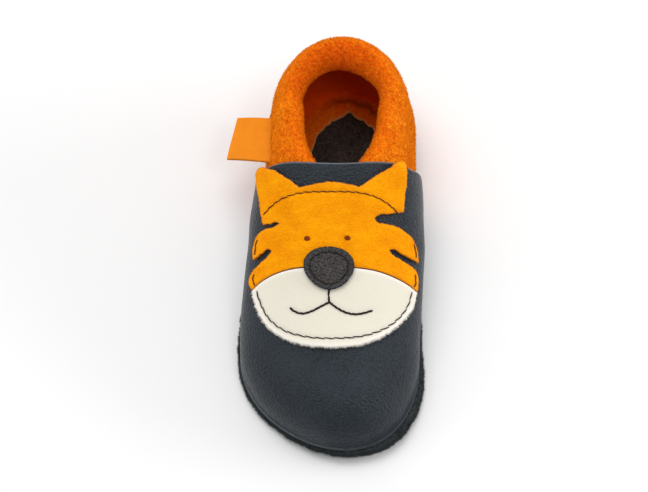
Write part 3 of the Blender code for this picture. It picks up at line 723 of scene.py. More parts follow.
def ladder(loop):
    """Quads across a closed loop of point numbers, between the two sides that run back from its start."""
    half = len(loop) // 2
    near, far = loop[:half], loop[::-1][:half]
    return np.stack([near[:-1], near[1:], far[1:], far[:-1]], axis=-1)


def edge_way(edge, across, back):
    """Unit vectors that point out of a wall's edge, square to the edge and to the wall's thickness."""
    way = unit(np.cross(np.gradient(edge, axis=0), across))
    return way * np.sign((way * back).sum())


def round_trip(values):
    """Values of a wall's rows up its outer side, held over the edge, down again, and held round the foot."""
    top, foot = np.repeat(values[-1:], RIM_STEPS, 0), np.repeat(values[:1], RIM_STEPS, 0)
    return np.concatenate([values, top, values[::-1], foot])


def rounded_wall(outer, inner):
    """A wall between two grids: up the outer one, over a half-round edge, down the inner one, round the foot.

    Gives the closed loops of points, with a row for each step of the loop, and each row's share of raw edge.
    """
    bow = np.linspace(0, math.pi, RIM_STEPS + 2)[1:-1, None, None]

    def edge(near, far, back):
        middle, half = (near + far) / 2, (near - far) / 2
        reach = np.linalg.norm(half, axis=-1, keepdims=True) * edge_way(near, half, back)
        return middle + half * np.cos(bow) + reach * np.sin(bow)

    top = edge(outer[-1], inner[-1], outer[-1] - outer[-2])
    foot = edge(inner[0], outer[0], outer[0] - outer[1])
    rows = len(outer)
    raw = np.concatenate([np.zeros(rows), np.ones(RIM_STEPS), np.zeros(rows), np.ones(RIM_STEPS)])
    return np.concatenate([outer, top, inner[::-1], foot]), raw


def round_ends(loops, outer, inner):
    """A wall's closed loops with more loops beyond its two ends, which narrow to half-round edges."""
    rows, steps = len(outer), np.linspace(0, math.pi / 2, END_STEPS + 2)[1:-1]
    order = np.roll(np.arange(len(loops)), -(rows + RIM_STEPS // 2))
    partner = np.empty(len(loops), int)
    partner[order] = order[::-1]
    ends = []
    for end, before in ((0, 1), (-1, -2)):
        way = edge_way(outer[:, end], outer[:, end] - inner[:, end], outer[:, end] - outer[:, before])
        way = round_trip(way)
        middle = (loops[:, end] + loops[partner, end]) / 2
        half = loops[:, end] - middle
        reach = np.linalg.norm(half, axis=-1, keepdims=True) * way
        ends.append([middle + half * math.cos(step) + reach * math.sin(step) for step in steps])
    return np.concatenate([np.stack(ends[0][::-1], axis=1), loops, np.stack(ends[1], axis=1)], axis=1)


def wall_faces(rows, columns):
    """Faces of a rounded wall: a closed band of quads, and a ladder across each of its two ends."""
    index = np.arange(rows * columns).reshape(rows, columns)
    band = grid_faces(np.concatenate([index, index[:1]]))
    start = (rows - 2 * RIM_STEPS) // 2 + RIM_STEPS // 2
    first, last = np.roll(index[:, 0], -start), np.roll(index[:, -1], -start)
    return [band, ladder(first), ladder(last)[:, ::-1]]


def add_wall(name, node, loops, look, **marks):
    """A piece from a wall's closed loops of points."""
    add_piece(name, loops.reshape(-1, 3), wall_faces(*loops.shape[:2]), look, node, **marks)


def square_to(steps):
    """Unit vectors square to flat steps."""
    return unit(np.stack([steps[:, 1], -steps[:, 0]], axis=1))


def frayed(line, reach):
    """A cut line with small nicks square to it, which fade out at both ends."""
    walked = walk(line)
    ends = ease(walked / MM) * ease((walked[-1] - walked) / MM)
    nicks = bumps(flat_spots(line), NICK) + 0.6 * bumps(flat_spots(line), LONG_NICK)
    return line + square_to(np.gradient(line, axis=0)) * (reach * nicks * ends)[:, None]


def add_cut(name, node, outline, lift, thickness, relief, look, fringe):
    """A flat cut of leather laid over the vamp.

    Its outline, two lines just inside it and a staggered lattice are joined into triangles. The top stands at
    the thickness plus the relief of each spot and rounds down to the cut edge; the underside and a wall
    close it. The fringe is how far the raw edge shows on the top.
    """
    steps = (np.arange(*ends, FACE_SPACING) for ends in zip(outline.min(axis=0), outline.max(axis=0)))
    across, down = np.meshgrid(*steps)
    across = across + FACE_SPACING / 2 * (np.arange(len(across)) % 2)[:, None]
    lattice = np.stack([across.ravel(), down.ravel()], axis=1)
    lattice = lattice[inside(lattice, outline)]
    lattice = lattice[away(lattice, outline, closed=True) > CUT_ROUND + FACE_SPACING / 2]
    side = np.roll(outline, -1, axis=0) - np.roll(outline, 1, axis=0)
    inward = -square_to(side) * np.sign(spin(outline))
    rims = []
    for inset in CUT_RIMS:
        rim = outline + inward * inset
        rims.append(rim[inside(rim, outline) & (away(rim, outline, closed=True) > RIM_CLEAR * inset)])
    flat = np.concatenate([outline, *rims, lattice])
    count = len(outline)
    edges = [(i, (i + 1) % count) for i in range(count)]
    cut = delaunay_2d_cdt([Vector(p / MM) for p in flat], edges, [], 1, WELD)
    flat = np.array([tuple(p) for p in cut[0]]) * MM
    triangles = np.array(cut[2])[:, ::-1]
    from_edge = away(flat, outline, closed=True)
    base = lift(flat) + np.zeros(len(flat))
    top = thickness + relief(flat) - CUT_ROUND * (1 - rounding(from_edge / CUT_ROUND))
    pairs = np.concatenate([triangles[:, [0, 1]], triangles[:, [1, 2]], triangles[:, [2, 0]]])
    keys = pairs[:, 0] * len(flat) + pairs[:, 1]
    border = pairs[~np.isin(keys, pairs[:, 1] * len(flat) + pairs[:, 0])]
    wall = np.stack([border[:, 1], border[:, 0], border[:, 0] + len(flat), border[:, 1] + len(flat)], axis=1)
    spots = np.concatenate([over_face(flat, base + top), over_face(flat, base)])
    raw = np.concatenate([hill(from_edge, fringe), np.ones(len(flat))])
    faces = [triangles, triangles[:, ::-1] + len(flat), wall]
    flow = np.concatenate([flat, flat]) / MM
    add_piece(name, spots, faces, look, node, flow=flow, raw=raw)


def tube(line, up, radius):
    """Rings round middle lines (line, step): circles square to them, with a radius for each step."""
    angle = np.linspace(0, 2 * math.pi, TUBE_SIDES, endpoint=False)[:, None]
    side = unit(np.cross(np.gradient(line, axis=1), up))
    high = unit(np.cross(side, np.gradient(line, axis=1)))
    ring = side[:, :, None] * np.cos(angle) + high[:, :, None] * np.sin(angle)
    return line[:, :, None] + ring * radius[:, None, None]


def add_thread(name, seams, radius, look, stitch=STITCH, gap=0.12, slant=0.10 * MM):
    """Sewn lines: stitches of even length along each path, each a small arched tube that dips at both ends.

    A stitch's middle line is the path plus an arch of half a sine wave along the surface's own up, a little
    slanted over the path. Its section is a circle that thins towards its ends.
    """
    share = np.linspace(0, 1, STITCH_STEPS)
    arch = np.sin(np.pi * share)
    tubes = []
    for path, up in seams:
        walked = walk(path)
        count = max(1, round(walked[-1] / stitch))
        at = (np.arange(count)[:, None] + gap / 2 + (1 - gap) * share) * walked[-1] / count
        line = np.stack([np.interp(at, walked, path[:, axis]) for axis in range(3)], axis=-1)
        high = unit(np.stack([np.interp(at, walked, up[:, axis]) for axis in range(3)], axis=-1))
        side = unit(np.cross(np.gradient(line, axis=1), high))
        line = line + high * (STITCH_ARCH * radius * arch**0.6 - STITCH_DIP * radius)[:, None]
        line = line + side * (slant * (2 * share - 1))[:, None]
        tubes.append(tube(line, high, radius * (STITCH_END + (1 - STITCH_END) * arch**0.4)))
    add_tubes(name, np.concatenate(tubes), look)


def add_tubes(name, tubes, look, turns=4):
    """Joined mesh of many tubes of points (tube, step, side), each closed by a flat end."""
    count, steps, sides = tubes.shape[:3]
    index = np.arange(count * steps * sides).reshape(count, steps, sides)
    ring = np.concatenate([index, index[:, :, :1]], axis=2)
    quads = np.stack([ring[:, :-1, :-1], ring[:, 1:, :-1], ring[:, 1:, 1:], ring[:, :-1, 1:]], axis=-1)
    u, v = np.meshgrid(np.linspace(0, turns, steps), np.linspace(0, 1, sides), indexing="ij")
    flow = np.broadcast_to(np.stack([u, v], axis=-1), tubes.shape[:3] + (2,))
    faces = [quads.reshape(-1, 4), index[:, 0], index[:, -1, ::-1]]
    add_piece(name, tubes.reshape(-1, 3), faces, look, flow=flow)


def add_fibres(name, roots, ways, lengths, width, look, tip=0.0, **marks):
    """Loose hairs of napped leather: slim three-sided spikes, marked hair by hair, with lighter tips that
    paint a rim light.
    """
    side = unit(np.cross(ways, np.roll(ways, 1, axis=1) + 0.3))
    other = np.cross(ways, side)
    angle = np.arange(3) * 2 * math.pi / 3
    ring = side[:, None] * np.cos(angle)[:, None] + other[:, None] * np.sin(angle)[:, None]
    tips = roots + ways * lengths[:, None]
    spots = np.concatenate([roots[:, None] + ring * width / 2, tips[:, None]], axis=1)
    index = np.arange(len(roots) * 4).reshape(-1, 4)
    sides = np.stack([index[:, :3], index[:, [1, 2, 0]], index[:, [3, 3, 3]]], axis=-1).reshape(-1, 3)
    marks = {key: np.repeat(values, index.shape[1]) for key, values in marks.items()}
    # Painted rim light: the tips of the hairs are lighter
    if tip:
        marks["tone"][3::4] += tip
    add_piece(name, spots.reshape(-1, 3), [sides, index[:, 2::-1]], look, **marks)


# Finishes: a look is a material with the record's slot that it belongs to
Look = namedtuple("Look", "material slot")
# Painted shade in the crease inside the heel
CREASE_SHADE = (0.02, 0.002, 0.0)
RIB_WIDTH = 0.42
WEFT_WIDTH = 0.36


class Wire:
    """A value in a tree of nodes. Sums, products and powers of wires and numbers add Math nodes."""

    def __init__(self, nodes, socket):
        self.nodes = nodes
        self.socket = socket

    def maths(self, operation, *values):
        return self.nodes.node("ShaderNodeMath", {"operation": operation}, dict(enumerate(values)))

    def __add__(self, other):
        return self.maths("ADD", self, other)

    def __sub__(self, other):
        return self.maths("SUBTRACT", self, other)

    def __rsub__(self, other):
        return self.maths("SUBTRACT", other, self)

    def __mul__(self, other):
        return self.maths("MULTIPLY", self, other)

    def __pow__(self, other):
        return self.maths("POWER", self, other)

    def sine(self):
        return self.maths("SINE", self)

    def size(self):
        return self.maths("ABSOLUTE", self)

    def clip(self):
        return self.nodes.node("ShaderNodeClamp", {}, {"Value": self})

    def part(self, axis):
        return self.nodes.node("ShaderNodeSeparateXYZ", {}, {0: self}, axis)

    def stretched(self, *scale):
        return self.nodes.node("ShaderNodeVectorMath", {"operation": "MULTIPLY"}, {0: self, 1: scale})

    __radd__ = __add__
    __rmul__ = __mul__


class Nodes:
    """A tree of nodes that one method adds to."""

    def __init__(self, tree):
        self.tree = tree

    def node(self, kind, settings, sockets, output=0):
        """A new node: its type, its settings, then the values or wires of its sockets. Gives one output."""
        node = self.tree.nodes.new(kind)
        for key, value in settings.items():
            setattr(node, key, value)
        for key, value in sockets.items():
            self.feed(node.inputs[key], value)
        return Wire(self, node.outputs[output])

    def feed(self, socket, value):
        """Links a wire to a socket, or sets an even value on it; colours are opaque."""
        if isinstance(value, Wire):
            self.tree.links.new(value.socket, socket)
        else:
            socket.default_value = (*value, 1.0) if socket.type == "RGBA" else value


class Finish(Nodes):
    """A material built by expressions around one shader, whose even values are set on its own sockets."""

    def __init__(self, name, **even):
        self.material = bpy.data.materials.new(name)
        self.material.use_nodes = True
        super().__init__(self.material.node_tree)
        self.shader = self.tree.nodes["Principled BSDF"]
        self.place = self.node("ShaderNodeTexCoord", {}, {}, "Object")
        for socket, value in even.items():
            self.feed(self.shader.inputs[socket.replace("_", " ").title().replace("Ior", "IOR")], value)

    def noise(self, size, detail=2.0, roughness=0.5, place=None):
        """Noise from 0 to 1 whose lumps are about the given size."""
        sockets = {"Vector": place or self.place, "Scale": 1 / size, "Detail": detail, "Roughness": roughness}
        return self.node("ShaderNodeTexNoise", {}, sockets)

    def pebbles(self, size):
        """Rounded cells of about the given size: distance from each cell's middle."""
        return self.node("ShaderNodeTexVoronoi", {}, {"Vector": self.place, "Scale": 1 / size})

    def mark(self, name):
        """A value that the mesh holds at its points."""
        return self.node("ShaderNodeAttribute", {"attribute_name": name}, {}, "Fac")

    def flow(self):
        """The piece's own UV map."""
        return self.node("ShaderNodeUVMap", {"uv_map": "flow"}, {})

    def mix(self, share, first, second):
        """Blend of two colours."""
        return self.node("ShaderNodeMix", {"data_type": "RGBA"}, {0: share, 6: first, 7: second}, 2)

    def done(self, colour, roughness, height, depth, slot=None):
        """Feeds the shader with what changes over the surface, and gives the look of a piece."""
        bump = self.node("ShaderNodeBump", {}, {"Strength": 1.0, "Distance": depth, "Height": height})
        self.feed(self.shader.inputs["Base Color"], colour)
        self.feed(self.shader.inputs["Roughness"], roughness)
        self.feed(self.shader.inputs["Normal"], bump)
        return Look(self.material, slot)


def suede(name, dark, plain, light, edge, inner, sheen=0.12):
    """Napped leather: brushed light and dark patches, fine fibres, and its own raw edge and inner side."""
    finish = Finish(name, sheen_weight=sheen, sheen_roughness=0.5, sheen_tint=light, specular_ior_level=0.06)
    brushed = finish.noise(size=9 * MM, detail=3.0, roughness=0.55)
    fibres = finish.noise(size=0.55 * MM, detail=3.0, roughness=0.7)
    tufts = finish.noise(size=1.4 * MM, roughness=0.6)
    shade = (0.8 * brushed + 1.2 * tufts + 3.0 * fibres - 2.0 + finish.mark("tone")).clip()
    colour = finish.mix(shade, dark, light)
    colour = finish.mix(0.15, colour, plain)
    colour = finish.mix(finish.mark("inner"), colour, inner)
    # Painted shade on the lip, the inner slope and the inside wall, mixed toward the dark colour
    colour = finish.mix(finish.mark("deep"), colour, dark)
    # Painted shade in the crease
    colour = finish.mix(0.5 * finish.mark("crease"), colour, CREASE_SHADE)
    colour = finish.mix(finish.mark("raw"), colour, edge)
    return finish.done(colour, 0.88 + 0.1 * fibres, 0.9 * fibres + 0.5 * tufts, 0.35 * MM, name)


def grained(name, dark, plain, light, edge, grain, gloss, depth, shine, speckle):
    """Smooth leather with a fine pebbled grain: shallow cells, small pores and slow changes of shade.

    Speckle is how much the pores and cells change the shade.
    """
    finish = Finish(name, specular_ior_level=shine)
    cells = finish.pebbles(grain)
    pores = finish.noise(size=0.6 * MM, roughness=0.6)
    slow = finish.noise(size=16 * MM)
    shade = (0.15 + 0.8 * slow + speckle * (pores - 0.4 * cells - 0.3)).clip()
    colour = finish.mix(shade, dark, light)
    colour = finish.mix(0.3, colour, plain)
    # The raw mark gives cut edges their edge colour; on the vamp it also paints a highlight along the bead
    colour = finish.mix(finish.mark("raw"), colour, edge)
    rough = gloss + 0.3 * pores + 0.12 * slow - 0.16
    return finish.done(colour, rough, 1 - cells + 0.6 * pores, depth, name)


def nubuck(name, dark, plain, light, edge):
    """Fine sanded leather with soft wrinkles that run across the face, and a darker raw edge."""
    finish = Finish(name, specular_ior_level=0.04)
    flow = finish.flow()
    wrinkles = finish.noise(size=8.0, detail=3.0, roughness=0.55, place=flow.stretched(1.0, 2.8, 1.0))
    lines = (1 - (2 * wrinkles - 1).size()) ** 9
    fibres = finish.noise(size=0.6 * MM, detail=3.0, roughness=0.6)
    patches = finish.noise(size=7 * MM)
    shade = (1.1 * patches + 0.6 * wrinkles + 1.7 * fibres - 1.15 - 0.1 * lines).clip()
    colour = finish.mix(shade, dark, light)
    colour = finish.mix(0.25, colour, plain)
    colour = finish.mix(finish.mark("raw") * 0.7, colour, edge)
    height = 0.8 * wrinkles + 0.6 * fibres - 0.2 * lines
    return finish.done(colour, 0.68 + 0.2 * fibres, height, 0.28 * MM, name)


def woven(name, dark, light):
    """Ribbon: fine ribs along the flow and a finer weft across them."""
    finish = Finish(name, sheen_weight=0.08, sheen_roughness=0.4, sheen_tint=light, specular_ior_level=0.12)
    flow = finish.flow()
    ribs = (flow.part(0) * (2 * math.pi / RIB_WIDTH)).sine()
    weft = (flow.part(1) * (2 * math.pi / WEFT_WIDTH)).sine()
    weave = 0.5 + 0.25 * (ribs * weft) + 0.2 * ribs
    uneven = finish.noise(size=3 * MM)
    colour = finish.mix((0.55 * weave + 0.6 * uneven).clip(), dark, light)
    return finish.done(colour, 0.62 + 0.15 * uneven, weave, 0.10 * MM, name)


def thread(name, dark, light):
    """Twisted sewing thread: slanted strands round each stitch."""
    finish = Finish(name, specular_ior_level=0.15)
    flow = finish.flow()
    strands = ((flow.part(0) * 1.5 + flow.part(1) * 2) * (2 * math.pi)).sine() * 0.5 + 0.5
    uneven = finish.noise(size=1.5 * MM)
    colour = finish.mix((0.6 * strands + 0.5 * uneven - 0.1).clip(), dark, light)
    return finish.done(colour, 0.6 + 0.2 * uneven, strands, 0.08 * MM)


ORANGE_SUEDE = suede(
    "orange_suede", dark=(0.62, 0.052, 0.001), plain=(0.88, 0.150, 0.002), light=(1.0, 0.34, 0.006),
    edge=(0.70, 0.27, 0.09), inner=(0.92, 0.062, 0.001), sheen=0.2)
SOLE_SUEDE = suede(
    "sole_suede", dark=(0.011, 0.014, 0.015), plain=(0.030, 0.036, 0.038), light=(0.088, 0.10, 0.105),
    edge=(0.036, 0.04, 0.042), inner=(0.011, 0.014, 0.015))
INSOLE_SUEDE = suede(
    "insole_suede", dark=(0.013, 0.010, 0.008), plain=(0.033, 0.025, 0.020), light=(0.088, 0.067, 0.055),
    edge=(0.03, 0.03, 0.03), inner=(0.013, 0.010, 0.008))
NAVY_LEATHER = grained(
    "navy_leather", dark=(0.002, 0.004, 0.006), plain=(0.010, 0.014, 0.019), light=(0.032, 0.042, 0.054),
    edge=(0.16, 0.175, 0.19), grain=0.8 * MM, gloss=0.27, depth=0.34 * MM, shine=0.17, speckle=0.6)
NOSE_LEATHER = grained(
    "nose_leather", dark=(0.006, 0.006, 0.006), plain=(0.026, 0.024, 0.023), light=(0.098, 0.086, 0.081),
    edge=(0.045, 0.052, 0.060), grain=0.8 * MM, gloss=0.5, depth=0.65 * MM, shine=0.2, speckle=2.4)
CREAM_LEATHER = grained(
    "cream_leather", dark=(0.625, 0.583, 0.475), plain=(0.68, 0.64, 0.536), light=(0.72, 0.682, 0.592),
    edge=(0.81, 0.77, 0.715), grain=0.6 * MM, gloss=0.58, depth=0.04 * MM, shine=0.2, speckle=0.8)
YELLOW_NUBUCK = nubuck(
    "yellow_nubuck", dark=(0.65, 0.174, 0.0003), plain=(0.785, 0.256, 0.0005), light=(0.92, 0.38, 0.002),
    edge=(0.77, 0.27, 0.018))
LABEL_RIBBON = woven("label_ribbon", dark=(0.68, 0.17, 0.003), light=(0.80, 0.272, 0.010))
BROWN_THREAD = thread("brown_thread", dark=(0.05, 0.012, 0.003), light=(0.14, 0.035, 0.008))
RUST_THREAD = thread("rust_thread", dark=(0.15, 0.022, 0.001), light=(0.40, 0.07, 0.003))
DARK_THREAD = thread("dark_thread", dark=(0.008, 0.006, 0.005), light=(0.032, 0.025, 0.020))
ORANGE_THREAD = thread("orange_thread", dark=(0.50, 0.07, 0.002), light=(0.80, 0.16, 0.006))


# Pieces of the shoe
def sole_point(turn, step):
    """Point of the sole at a turn of its outline and a step of its rim, roughened at the cut edge."""
    inset, height = smooth(SOLE_RINGS, "inset", step), smooth(SOLE_RINGS, "height", step)
    across, along = plan(turn, inset)
    spots = points(across, along, np.maximum(height, 0) + spring(along))
    in_across, in_along = plan_inward(turn)
    rough = EDGE_ROUGHNESS * lumps(spots, EDGE_LUMPS) * hill(step - EDGE_STEP, EDGE_SPREAD)
    return spots + points(in_across, in_along + SOLE_LENGTH / 2, 0.0) * rough[..., None]


def build_sole():
    """Suede sole: rings from the flat underside over the soft rim to its floor, closed by rungs."""
    turns = np.linspace(0, 2 * math.pi, SOLE_COUNT, endpoint=False)
    steps = np.linspace(0, len(SOLE_RINGS) - 1, SOLE_LEVELS)[:, None]
    rings = sole_point(turns + 0 * steps, steps + 0 * turns)
    index = np.arange(rings[..., 0].size).reshape(SOLE_LEVELS, SOLE_COUNT)
    band = grid_faces(np.concatenate([index, index[:, :1]], axis=1))
    faces = [band, ladder(index[0])[:, ::-1], ladder(index[-1])]
    raw = hill(steps - RAW_STEP, RAW_SPREAD) * RAW_SHARE + 0 * turns
    add_piece("suede_sole", rings.reshape(-1, 3), faces, SOLE_SUEDE, "sole", raw=raw)
    chance = np.random.default_rng(11)
    count = SOLE_HAIRS
    turn = chance.uniform(0, 2 * math.pi, count)
    step = chance.uniform(*HAIR_STEPS, count)
    roots = sole_point(turn, step)
    in_across, in_along = plan_inward(turn)
    outward = points(-in_across, -in_along + SOLE_LENGTH / 2, 0.25 * (step - HAIR_LEVEL))
    ways = unit(outward + 0.55 * chance.normal(size=(count, 3)))
    lengths = chance.uniform(0.35, 1.1, count) * MM
    tone = chance.uniform(-0.4, 0.7, count)
    add_fibres("sole_fibres", roots, ways, lengths, HAIR_WIDTH, SOLE_SUEDE, tone=tone)


def build_insole():
    """Suede floor of the shoe: a grid across its outline, slightly uneven, with rounded edges."""
    turns = np.linspace(INSOLE_END, math.pi - INSOLE_END, INSOLE_ROWS)[:, None]
    share = np.linspace(-1, 1, INSOLE_COLUMNS)
    along = INSOLE_INSET + (SOLE_LENGTH - 2 * INSOLE_INSET) * (1 - np.cos(turns)) / 2
    across = centre(along) + share * half_width(along, INSOLE_INSET)
    low = SOLE_THICKNESS + GAP + spring(along)
    top = points(across, along, low + INSOLE_THICKNESS)
    top[..., 2] += INSOLE_WAVE * bumps(top, INSOLE_WAVE_SIZE) - INSOLE_SINK
    loops, raw = rounded_wall(top, points(across, along, low))
    add_wall("suede_insole", "insole", loops, INSOLE_SUEDE, raw=raw[:, None] + 0 * loops[..., 0])


def build_vamp():
    """Navy vamp: the last's own surface with a bead where it is sewn to the sole and a raw throat edge."""
    outer, square, from_seam = vamp_face()
    inner = outer - square * VAMP_THICKNESS
    inner[0, :, 2] = outer[0, :, 2]
    relief = BEAD_HEIGHT * hill(from_seam - BEAD_PLACE, BEAD_WIDTH)
    relief = relief - GROOVE_DEPTH * hill(from_seam - GROOVE_PLACE, GROOVE_WIDTH)
    relief = relief + lumps(outer, VAMP_LUMPS) * MM * ease(from_seam / LUMPS_START)
    outer = outer + square * relief[..., None]
    loops, raw = rounded_wall(outer, inner)
    raw = THROAT_WEAR * raw[:, None] + 0 * loops[..., 0]
    raw[len(loops) - RIM_STEPS:] = 0
    # Painted highlight: a lighter line along the top of the bead, in the raw-edge colour
    raw[:len(outer)] += BEAD_HIGHLIGHT * hill(from_seam - BEAD_PLACE, BEAD_WIDTH / 2)
    loops = round_ends(loops, outer, inner)
    raw = np.pad(raw, ((0, 0), (END_STEPS, END_STEPS)), constant_values=THROAT_WEAR)
    add_wall("leather_vamp", "vamp", loops, NAVY_LEATHER, raw=raw)


def casing(around, height):
    """How far the heel is drawn in by the collar's casing seam, with puffs beside it and gathers."""
    below = smooth(QUARTER, "crest", around) - CASING_DROP - height
    gathers = bumps(points(around * GATHER_COUNT / 2, 0.0, below / GATHER_LENGTH), 1.0)
    drawn_in = CASING_DEPTH * hill(below, CASING_WIDTH)
    puff = sum(row.height * hill(below - row.below, row.width) for row in PUFFS)
    return drawn_in - puff + GATHER_DEPTH * gathers * hill(below + GATHER_PLACE, GATHER_SPREAD)


def build_quarter():
    """Orange suede heel: wall, rolled collar with soft gathers, casing seam and a wavy allowance inside."""
    around = np.linspace(-1, 1, QUARTER_COLUMNS)
    inward, height, thickness = quarter_profile(around)
    outer = quarter_point(around[None, :] + 0 * height, inward, height)
    square = normals(outer)
    inner = outer - square * thickness[..., None]
    rows = np.arange(len(height))[:, None] + 0 * height
    on_wall = ease((rows - WALL_ROW + 2) / WALL_FADE)
    to_front = ease((1 - np.abs(around)) / FRONT_FADE)
    seam = casing(around[None, :] + 0 * height, height) * (rows < LIP_ROW)
    lip = ease((rows - LIP_ROW + 6) / LIP_FADE)
    ripples = bumps(points(around * GATHER_COUNT / 2 + 0 * height, 0.0, height / RIPPLE_LENGTH), 1.0)
    slow = HEEL_WAVE * bumps(outer, HEEL_WAVE_SIZE)
    seam = seam * ease((LIP_ROW - rows) / CASING_FADE)
    relief = (slow - seam + RIPPLE_DEPTH * ripples * lip) * on_wall * to_front
    outer = outer + square * relief[..., None]
    inner = inner + square * (INSIDE_WAVE * bumps(inner, INSIDE_WAVE_SIZE) * on_wall * to_front)[..., None]
    # A groove in the inside face along the crease, whose mark also paints shade into it
    wander = bumps(points(CREASE_TURNS * around + 0 * rows, 0.0, 0.0), 1.0)
    crease = hill(rows - CREASE_ROW - wander, CREASE_WIDTH) * to_front
    crease = crease * ease((CREASE_END - around) / CREASE_FADE)
    inner = inner + square * (CREASE_DEPTH * crease)[..., None]
    loops, raw = rounded_wall(outer, inner)
    raw = raw[:, None] + 0 * loops[..., 0]
    raw[len(height):len(height) + RIM_STEPS] = 0
    # Painted shade: darker over the lip toward the middle of the heel, and higher up the inside wall under
    # the lip; the nap hairs carry it too
    deep = LIP_SHADE * ease((rows - SHADE_ROW) / SHADE_FADE) * hill(around, SHADE_SPREAD)
    blank = np.zeros((RIM_STEPS, len(around)))
    down = rows[::-1]
    within = INSIDE_SHARE * (0.5 + 0.5 * ease((down - 3) / 9)) - 0.1 * bumps(inner[::-1], INSIDE_NAP)
    shade = INSIDE_SHADE * ease((down - ALLOWANCE_ROWS) / 16)
    hair_shade = deep[WALL_ROW:]
    deep = np.concatenate([deep, np.repeat(deep[-1:], RIM_STEPS, 0), shade, blank])
    within = np.concatenate([0 * within, blank, within, blank])
    crease = np.concatenate([0 * crease, blank, crease[::-1], blank])
    add_wall("suede_heel_quarter", "heel_quarter", loops, ORANGE_SUEDE, raw=raw, deep=deep, crease=crease,
             inner=within)
    add_nap("heel_nap", outer[WALL_ROW:], HEEL_HAIRS, NAP_LENGTH, ORANGE_SUEDE, 31, hair_shade)
    place = np.linspace(-CASING_END, CASING_END, CASING_POINTS)
    level = smooth(QUARTER, "crest", place) - CASING_DROP
    path = quarter_point(place, quarter_wall(place, level) + casing(place, level), level)
    ahead = np.gradient(path, axis=0)
    up = unit(np.cross(ahead, np.array([0.0, 0.0, 1.0])))
    add_thread("casing_stitches", [(path, up)], 0.2 * MM, ORANGE_THREAD, stitch=3.0 * MM, gap=0.2)


def sewn(flat, lift):
    """Path of a sewn line over the face at a lift, and the surface's up along it."""
    path = over_face(flat, lift)
    return path, unit(over_face(flat, lift + MM) - path)


def add_edge_fibres(name, line, top, length, count, look, seed, lift=None):
    """Hairs of a cut edge: they stand out from chance places on the line, in the leather's own plane."""
    chance = np.random.default_rng(seed)
    pick = chance.integers(0, len(line) - 1, count)
    step = (line[1:] - line[:-1])[pick]
    out = square_to(step) * np.sign(spin(line))
    flat = line[pick] + step * chance.uniform(0, 1, (count, 1))
    height = top - chance.uniform(0.15, 0.75, count) * MM
    if lift:
        height = height + lift(flat) - GAP
    roots = over_face(flat - 0.12 * MM * out, height)
    ahead = unit(over_face(flat + MM * out, height) - roots)
    ways = unit(ahead + 0.5 * chance.normal(size=(count, 3)))
    lengths = length * chance.uniform(0.35, 1.0, count)
    add_fibres(name, roots, ways, lengths, EDGE_HAIR_WIDTH, look, raw=chance.uniform(0.6, 1.0, count))


def add_nap(name, face, count, length, look, seed, deep):
    """Short hairs brushed to all sides, at chance places of a grid's cells, by the size of the cells."""
    chance = np.random.default_rng(seed)
    corner = face[:-1, :-1]
    across, along = face[:-1, 1:] - corner, face[1:, :-1] - corner
    square = np.cross(across, along)
    size = np.linalg.norm(square, axis=-1).ravel()
    pick = chance.choice(size.size, count, p=size / size.sum())
    shares = chance.uniform(0, 1, (2, count, 1))
    corner, across, along, square = (part.reshape(-1, 3)[pick] for part in (corner, across, along, square))
    roots = corner + across * shares[0] + along * shares[1]
    ways = unit(unit(square) + 0.75 * chance.normal(size=(count, 3)))
    marks = {"deep": deep[:-1, :-1].ravel()[pick], "tone": chance.uniform(-0.35, 0.9, count)}
    lengths = length * chance.uniform(0.4, 1.0, count)
    add_fibres(name, roots, ways, lengths, NAP_WIDTH, look, PAINTED_TIP_LIGHT, **marks)


def seam_trough(flat, rows, depth):
    """How far a sewn line draws the leather down: a bell curve of the distance from it."""
    return depth * hill(away(flat, drawn(rows)), SEAM_SPREAD)


def flat_spots(flat, stretch=1.0):
    """Flat face measures as points for noise, stretched down the face."""
    return np.stack([flat[:, 0], stretch * flat[:, 1], 0 * flat[:, 0]], axis=1)


def mask_lift(flat):
    """The mask lies on the vamp, and its loose ears rise towards their tips."""
    out = ease((np.abs(flat[:, 0]) - 10 * MM) / (16 * MM))
    return GAP + EAR_LIFT * out * ease((9 * MM - flat[:, 1]) / (10 * MM))


def mask_relief(flat):
    """Troughs along the mask's seams, and thin folds that run across it where noise is near 0."""
    trough = sum(seam_trough(flat, rows, MASK_SEAM) for rows in (EAR_LINE, *CHEEK_LINES))
    folds = 0.11 * MM * (1 - np.abs(bumps(flat_spots(flat, 3.2), 9 * MM))) ** 5
    return 0.07 * MM * bumps(flat_spots(flat), 2.2 * MM) - folds - trough


def muzzle_relief(flat):
    """Troughs along the muzzle's seam and mouth on a gently uneven cut."""
    mouth = np.maximum(*(seam_trough(flat, rows, MOUTH_SEAM) for rows in (INNER_SMILE, OUTER_SMILE)))
    return 0.08 * MM * bumps(flat_spots(flat), 7 * MM) - seam_trough(flat, CHIN_LINE, MUZZLE_SEAM) - mouth


def nose_relief(flat):
    """A low crown inside the nose's ring of stitches, which is drawn down."""
    ring = nose_outline(NOSE_RING)
    from_ring = away(flat, ring, closed=True)
    crown = NOSE_CROWN * ease(from_ring / (4 * MM)) * inside(flat, ring)
    return crown - NOSE_SEAM * hill(from_ring, SEAM_SPREAD)


